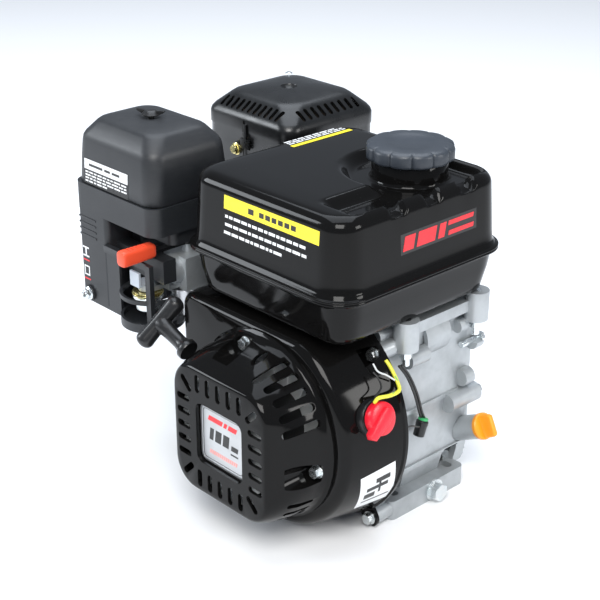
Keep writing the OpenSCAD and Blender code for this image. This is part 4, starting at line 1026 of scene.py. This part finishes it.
# ---------------------------------------------------------------- wires
def wires():
    """Earth wire with its green stripe, thin wires and the double lead with its plug, each a round section on a
    smooth route."""
    earth = smooth_route([(100, -72, 178), (106, -72, 173), (116, -73, 162), (121, -77, 158), (123, -90, 159),
                          (122, -103, 161), (119, -105, 156)])
    show("earth_wire", tube(earth, 1.75, 14), "earth_yellow", "root", ["wiring"])
    turn = np.linspace(0, 6 * math.pi, len(earth))
    stripe = earth + 1.3 * np.stack([np.cos(turn) * 0.6, np.sin(turn) * 0.5, np.cos(turn + 1.2)], 1)
    show("earth_wire_stripe", tube(stripe, 0.62, 8), "earth_green")
    lead = smooth_route([(97, -50, 164), (98, -40, 150), (97, -28, 128), (94, -17, 104), (92, -11, 94)])
    for k, side in enumerate((-1.35, 1.35)):
        show(f"lead_{k}", tube(lead + (0.2 * side, side, 0), 1.25, 12), "wire")
    place = at((92, -10.6, 93.2)) @ spin(-20, "X")
    plug = turned([(4.4, -17), (5.4, -16.4), (5.6, -6), (5.9, -5.4), (5.9, -2.4), (4.6, -1.0)], place, 32)
    show("lead_plug", plug, "black_plastic", bevel=0.2)
    show("lead_seal", turned([(4.3, -1.4), (4.9, -0.9), (4.9, 0.6), (4.2, 1.2)], place, 32), "earth_green")
    thin = smooth_route([(107, -95, 177), (112, -94, 173), (117, -95, 166), (119, -105, 161)])
    show("thin_wire_black", tube(thin, 0.8, 10), "wire")
    back = smooth_route([(98, -23, 92), (104, -41, 102), (110, -56, 107), (114, -68, 107)])
    show("thin_wire_return", tube(back, 0.8, 10), "wire")
    pale = smooth_route([(101, -89, 181), (106, -88, 175), (111, -82, 171), (114, -75, 165)])
    show("thin_wire_white", tube(pale, 0.8, 10), "light_plastic")


# ---------------------------------------------------------------- dipstick, nuts and small parts
def dip_knob():
    """Filler plug: an orange-yellow wing with a waist on a round flange."""
    place = at((94, 54, 60), (math.cos(math.radians(26)), 0, math.sin(math.radians(26))), (0, 1, 0))
    flange = turned([(12.4, 16.25), (13, 17), (13, 20.4), (12.2, 21.2), (8, 21.4)], place, 48)
    steps = [(20, 12.6, 4.6), (23, 11.8, 3.2), (27, 11.6, 2.9), (30.5, 11.2, 3.0), (32.4, 10.4, 2.6),
             (33, 9.4, 1.6)]
    web = loft([level(rounded(2 * a, 2 * b, min(a, b) * 0.95, 8), h)
                for h, a, b in steps]).moved(place @ spin(90))
    shank = prism(disc(9.3, 32), -8, 17, place) + prism(disc(2.5, 16), -50, -7, place)
    show("dip_knob", flange + web + shank, "orange_plastic", body_of_node["dipstick"],
         ["dipstick"], 0.5, 40, 2)


PLATE_CORNERS = ((-8, -81), (-34, -70), (-40, -104), (-13, -116))  # angle about the crank and y
PLATE_ROWS, PLATE_COLUMNS = 13, 9


def cover_prints():
    """The pictogram plate on the fan cover, bent to its side, with plain strokes."""
    def sheet(u, v, lift):
        shares = ((1 - u) * (1 - v), u * (1 - v), u * v, (1 - u) * v)
        angle = np.radians(sum(a * share for (a, _), share in zip(PLATE_CORNERS, shares)))
        y = sum(depth * share for (_, depth), share in zip(PLATE_CORNERS, shares))
        reach = blower_surface(angle.ravel(), y.ravel()).reshape(angle.shape) - 1.0 + lift
        return np.stack([CRANK[0] + reach * np.cos(angle), y, CRANK[1] + reach * np.sin(angle)], -1)

    def slab(u0, u1, v0, v1, low, high):
        last, end, count = PLATE_ROWS - 1, PLATE_COLUMNS - 1, PLATE_ROWS * PLATE_COLUMNS
        s, t = np.meshgrid(np.linspace(u0, u1, PLATE_ROWS), np.linspace(v0, v1, PLATE_COLUMNS), indexing="ij")
        rim = [(i, 0) for i in range(PLATE_ROWS)] + [(last, j) for j in range(1, PLATE_COLUMNS)]
        rim += [(i, end) for i in range(last - 1, -1, -1)] + [(0, j) for j in range(end - 1, 0, -1)]
        points = np.concatenate([sheet(s, t, low).reshape(-1, 3), sheet(s, t, high).reshape(-1, 3)])
        grid = lattice(PLATE_ROWS, PLATE_COLUMNS, closed=False)
        edge = [i * PLATE_COLUMNS + j for i, j in rim]
        sides = [[a, b, b + count, a + count] for a, b in zip(edge, edge[1:] + edge[:1])]
        return Solid(points, grid[:, ::-1].tolist() + (grid + count).tolist() + sides)

    show("cover_plate", slab(0, 1, 0, 1, 0.02, 0.16), "ink_white")
    strokes = [(0.2, 0.32, 0.15, 0.55), (0.38, 0.48, 0.2, 0.8), (0.3, 0.62, 0.4, 0.46), (0.55, 0.7, 0.55, 0.85),
               (0.78, 0.82, 0.12, 0.88)]
    show("cover_plate_strokes", together([slab(*s, 0.16, 0.24) for s in strokes]), "ink_black")


# ---------------------------------------------------------------- all of it
for make in (blower, starter, grip, nameplate, tank, tank_prints, filler_cap, guard, cleaner_cover, wing,
             cleaner_details, choke, fuel_cock, knob, wires, dip_knob, cover_prints):
    make()
replaced = {n for o in bpy.data.objects for n in o.get("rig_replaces", [])}
for name in frame["nodes"]:
    if name not in replaced:
        eased(name)


# ---------------------------------------------------------------- studio
FLOOR_HALF = 9.0
CAMERA_PLACE, CAMERA_LENS = (0.835, -0.8594, 0.723), 83.1
AZIMUTH, ELEVATION = math.radians(47), math.radians(24.4)
AIM = Vector((0, 0, 0.15))
LAMPS = (  # name, place, width, watts, colour
    ("key", (1.2, -1.5, 2.2), 1.3, 62, (1.0, 0.99, 0.97)),
    ("sky", (-0.4, 0.3, 2.4), 2.2, 54, (0.86, 0.92, 1.0)),
    ("window", (-2.0, -1.6, 1.2), 0.9, 30, (0.90, 0.95, 1.0)),
    ("side", (2.2, 0.9, 1.1), 0.8, 20, (1.0, 0.99, 0.97)),
)


def placed(name, data, place, towards):
    """A lamp or camera at a place, looking along a direction."""
    thing = bpy.data.objects.new(name, data)
    bpy.context.scene.collection.objects.link(thing)
    thing.location = place
    thing.rotation_mode = "QUATERNION"
    thing.rotation_quaternion = towards.to_track_quat("-Z", "Y")
    return thing


def studio():
    """Pale floor, white surroundings, soft lights and the camera."""
    scene = bpy.context.scene
    scene.view_settings.view_transform = "Standard"
    world = bpy.data.worlds.new("studio")
    world.use_nodes = True
    nodes, links = world.node_tree.nodes, world.node_tree.links
    seen, lit = nodes["Background"], nodes.new("ShaderNodeBackground")
    seen.inputs[0].default_value, seen.inputs[1].default_value = (0.93, 0.945, 0.96, 1), 1.0
    lit.inputs[0].default_value, lit.inputs[1].default_value = (0.80, 0.88, 1.0, 1), 0.38
    ray, share = nodes.new("ShaderNodeLightPath"), nodes.new("ShaderNodeMixShader")
    links.new(ray.outputs["Is Camera Ray"], share.inputs[0])
    links.new(lit.outputs[0], share.inputs[1])
    links.new(seen.outputs[0], share.inputs[2])
    links.new(share.outputs[0], nodes["World Output"].inputs[0])
    scene.world = world
    floor = bpy.data.meshes.new("floor")
    corners = [(x * FLOOR_HALF, y * FLOOR_HALF, 0) for x, y in ((-1, -1), (1, -1), (1, 1), (-1, 1))]
    floor.from_pydata(corners, [], [(0, 1, 2, 3)])
    pale = bpy.data.materials.new("floor")
    pale.use_nodes = True
    shader = pale.node_tree.nodes["Principled BSDF"]
    shader.inputs["Base Color"].default_value = (0.93, 0.93, 0.935, 1)
    shader.inputs["Roughness"].default_value = 0.9
    floor.materials.append(pale)
    ground = bpy.data.objects.new("floor", floor)
    scene.collection.objects.link(ground)
    for name, place, width, power, colour in LAMPS:
        lamp = bpy.data.lights.new(name, "AREA")
        lamp.shape, lamp.size, lamp.energy, lamp.color = "SQUARE", width, power, colour
        placed(name, lamp, place, AIM - Vector(place))
    across = math.cos(ELEVATION)
    back = Vector((math.sin(AZIMUTH) * across, -math.cos(AZIMUTH) * across, math.sin(ELEVATION)))
    lens = bpy.data.cameras.new("camera")
    lens.sensor_width, lens.lens, lens.clip_end = 36, CAMERA_LENS, 30
    scene.camera = placed("camera", lens, CAMERA_PLACE, -back)


studio()
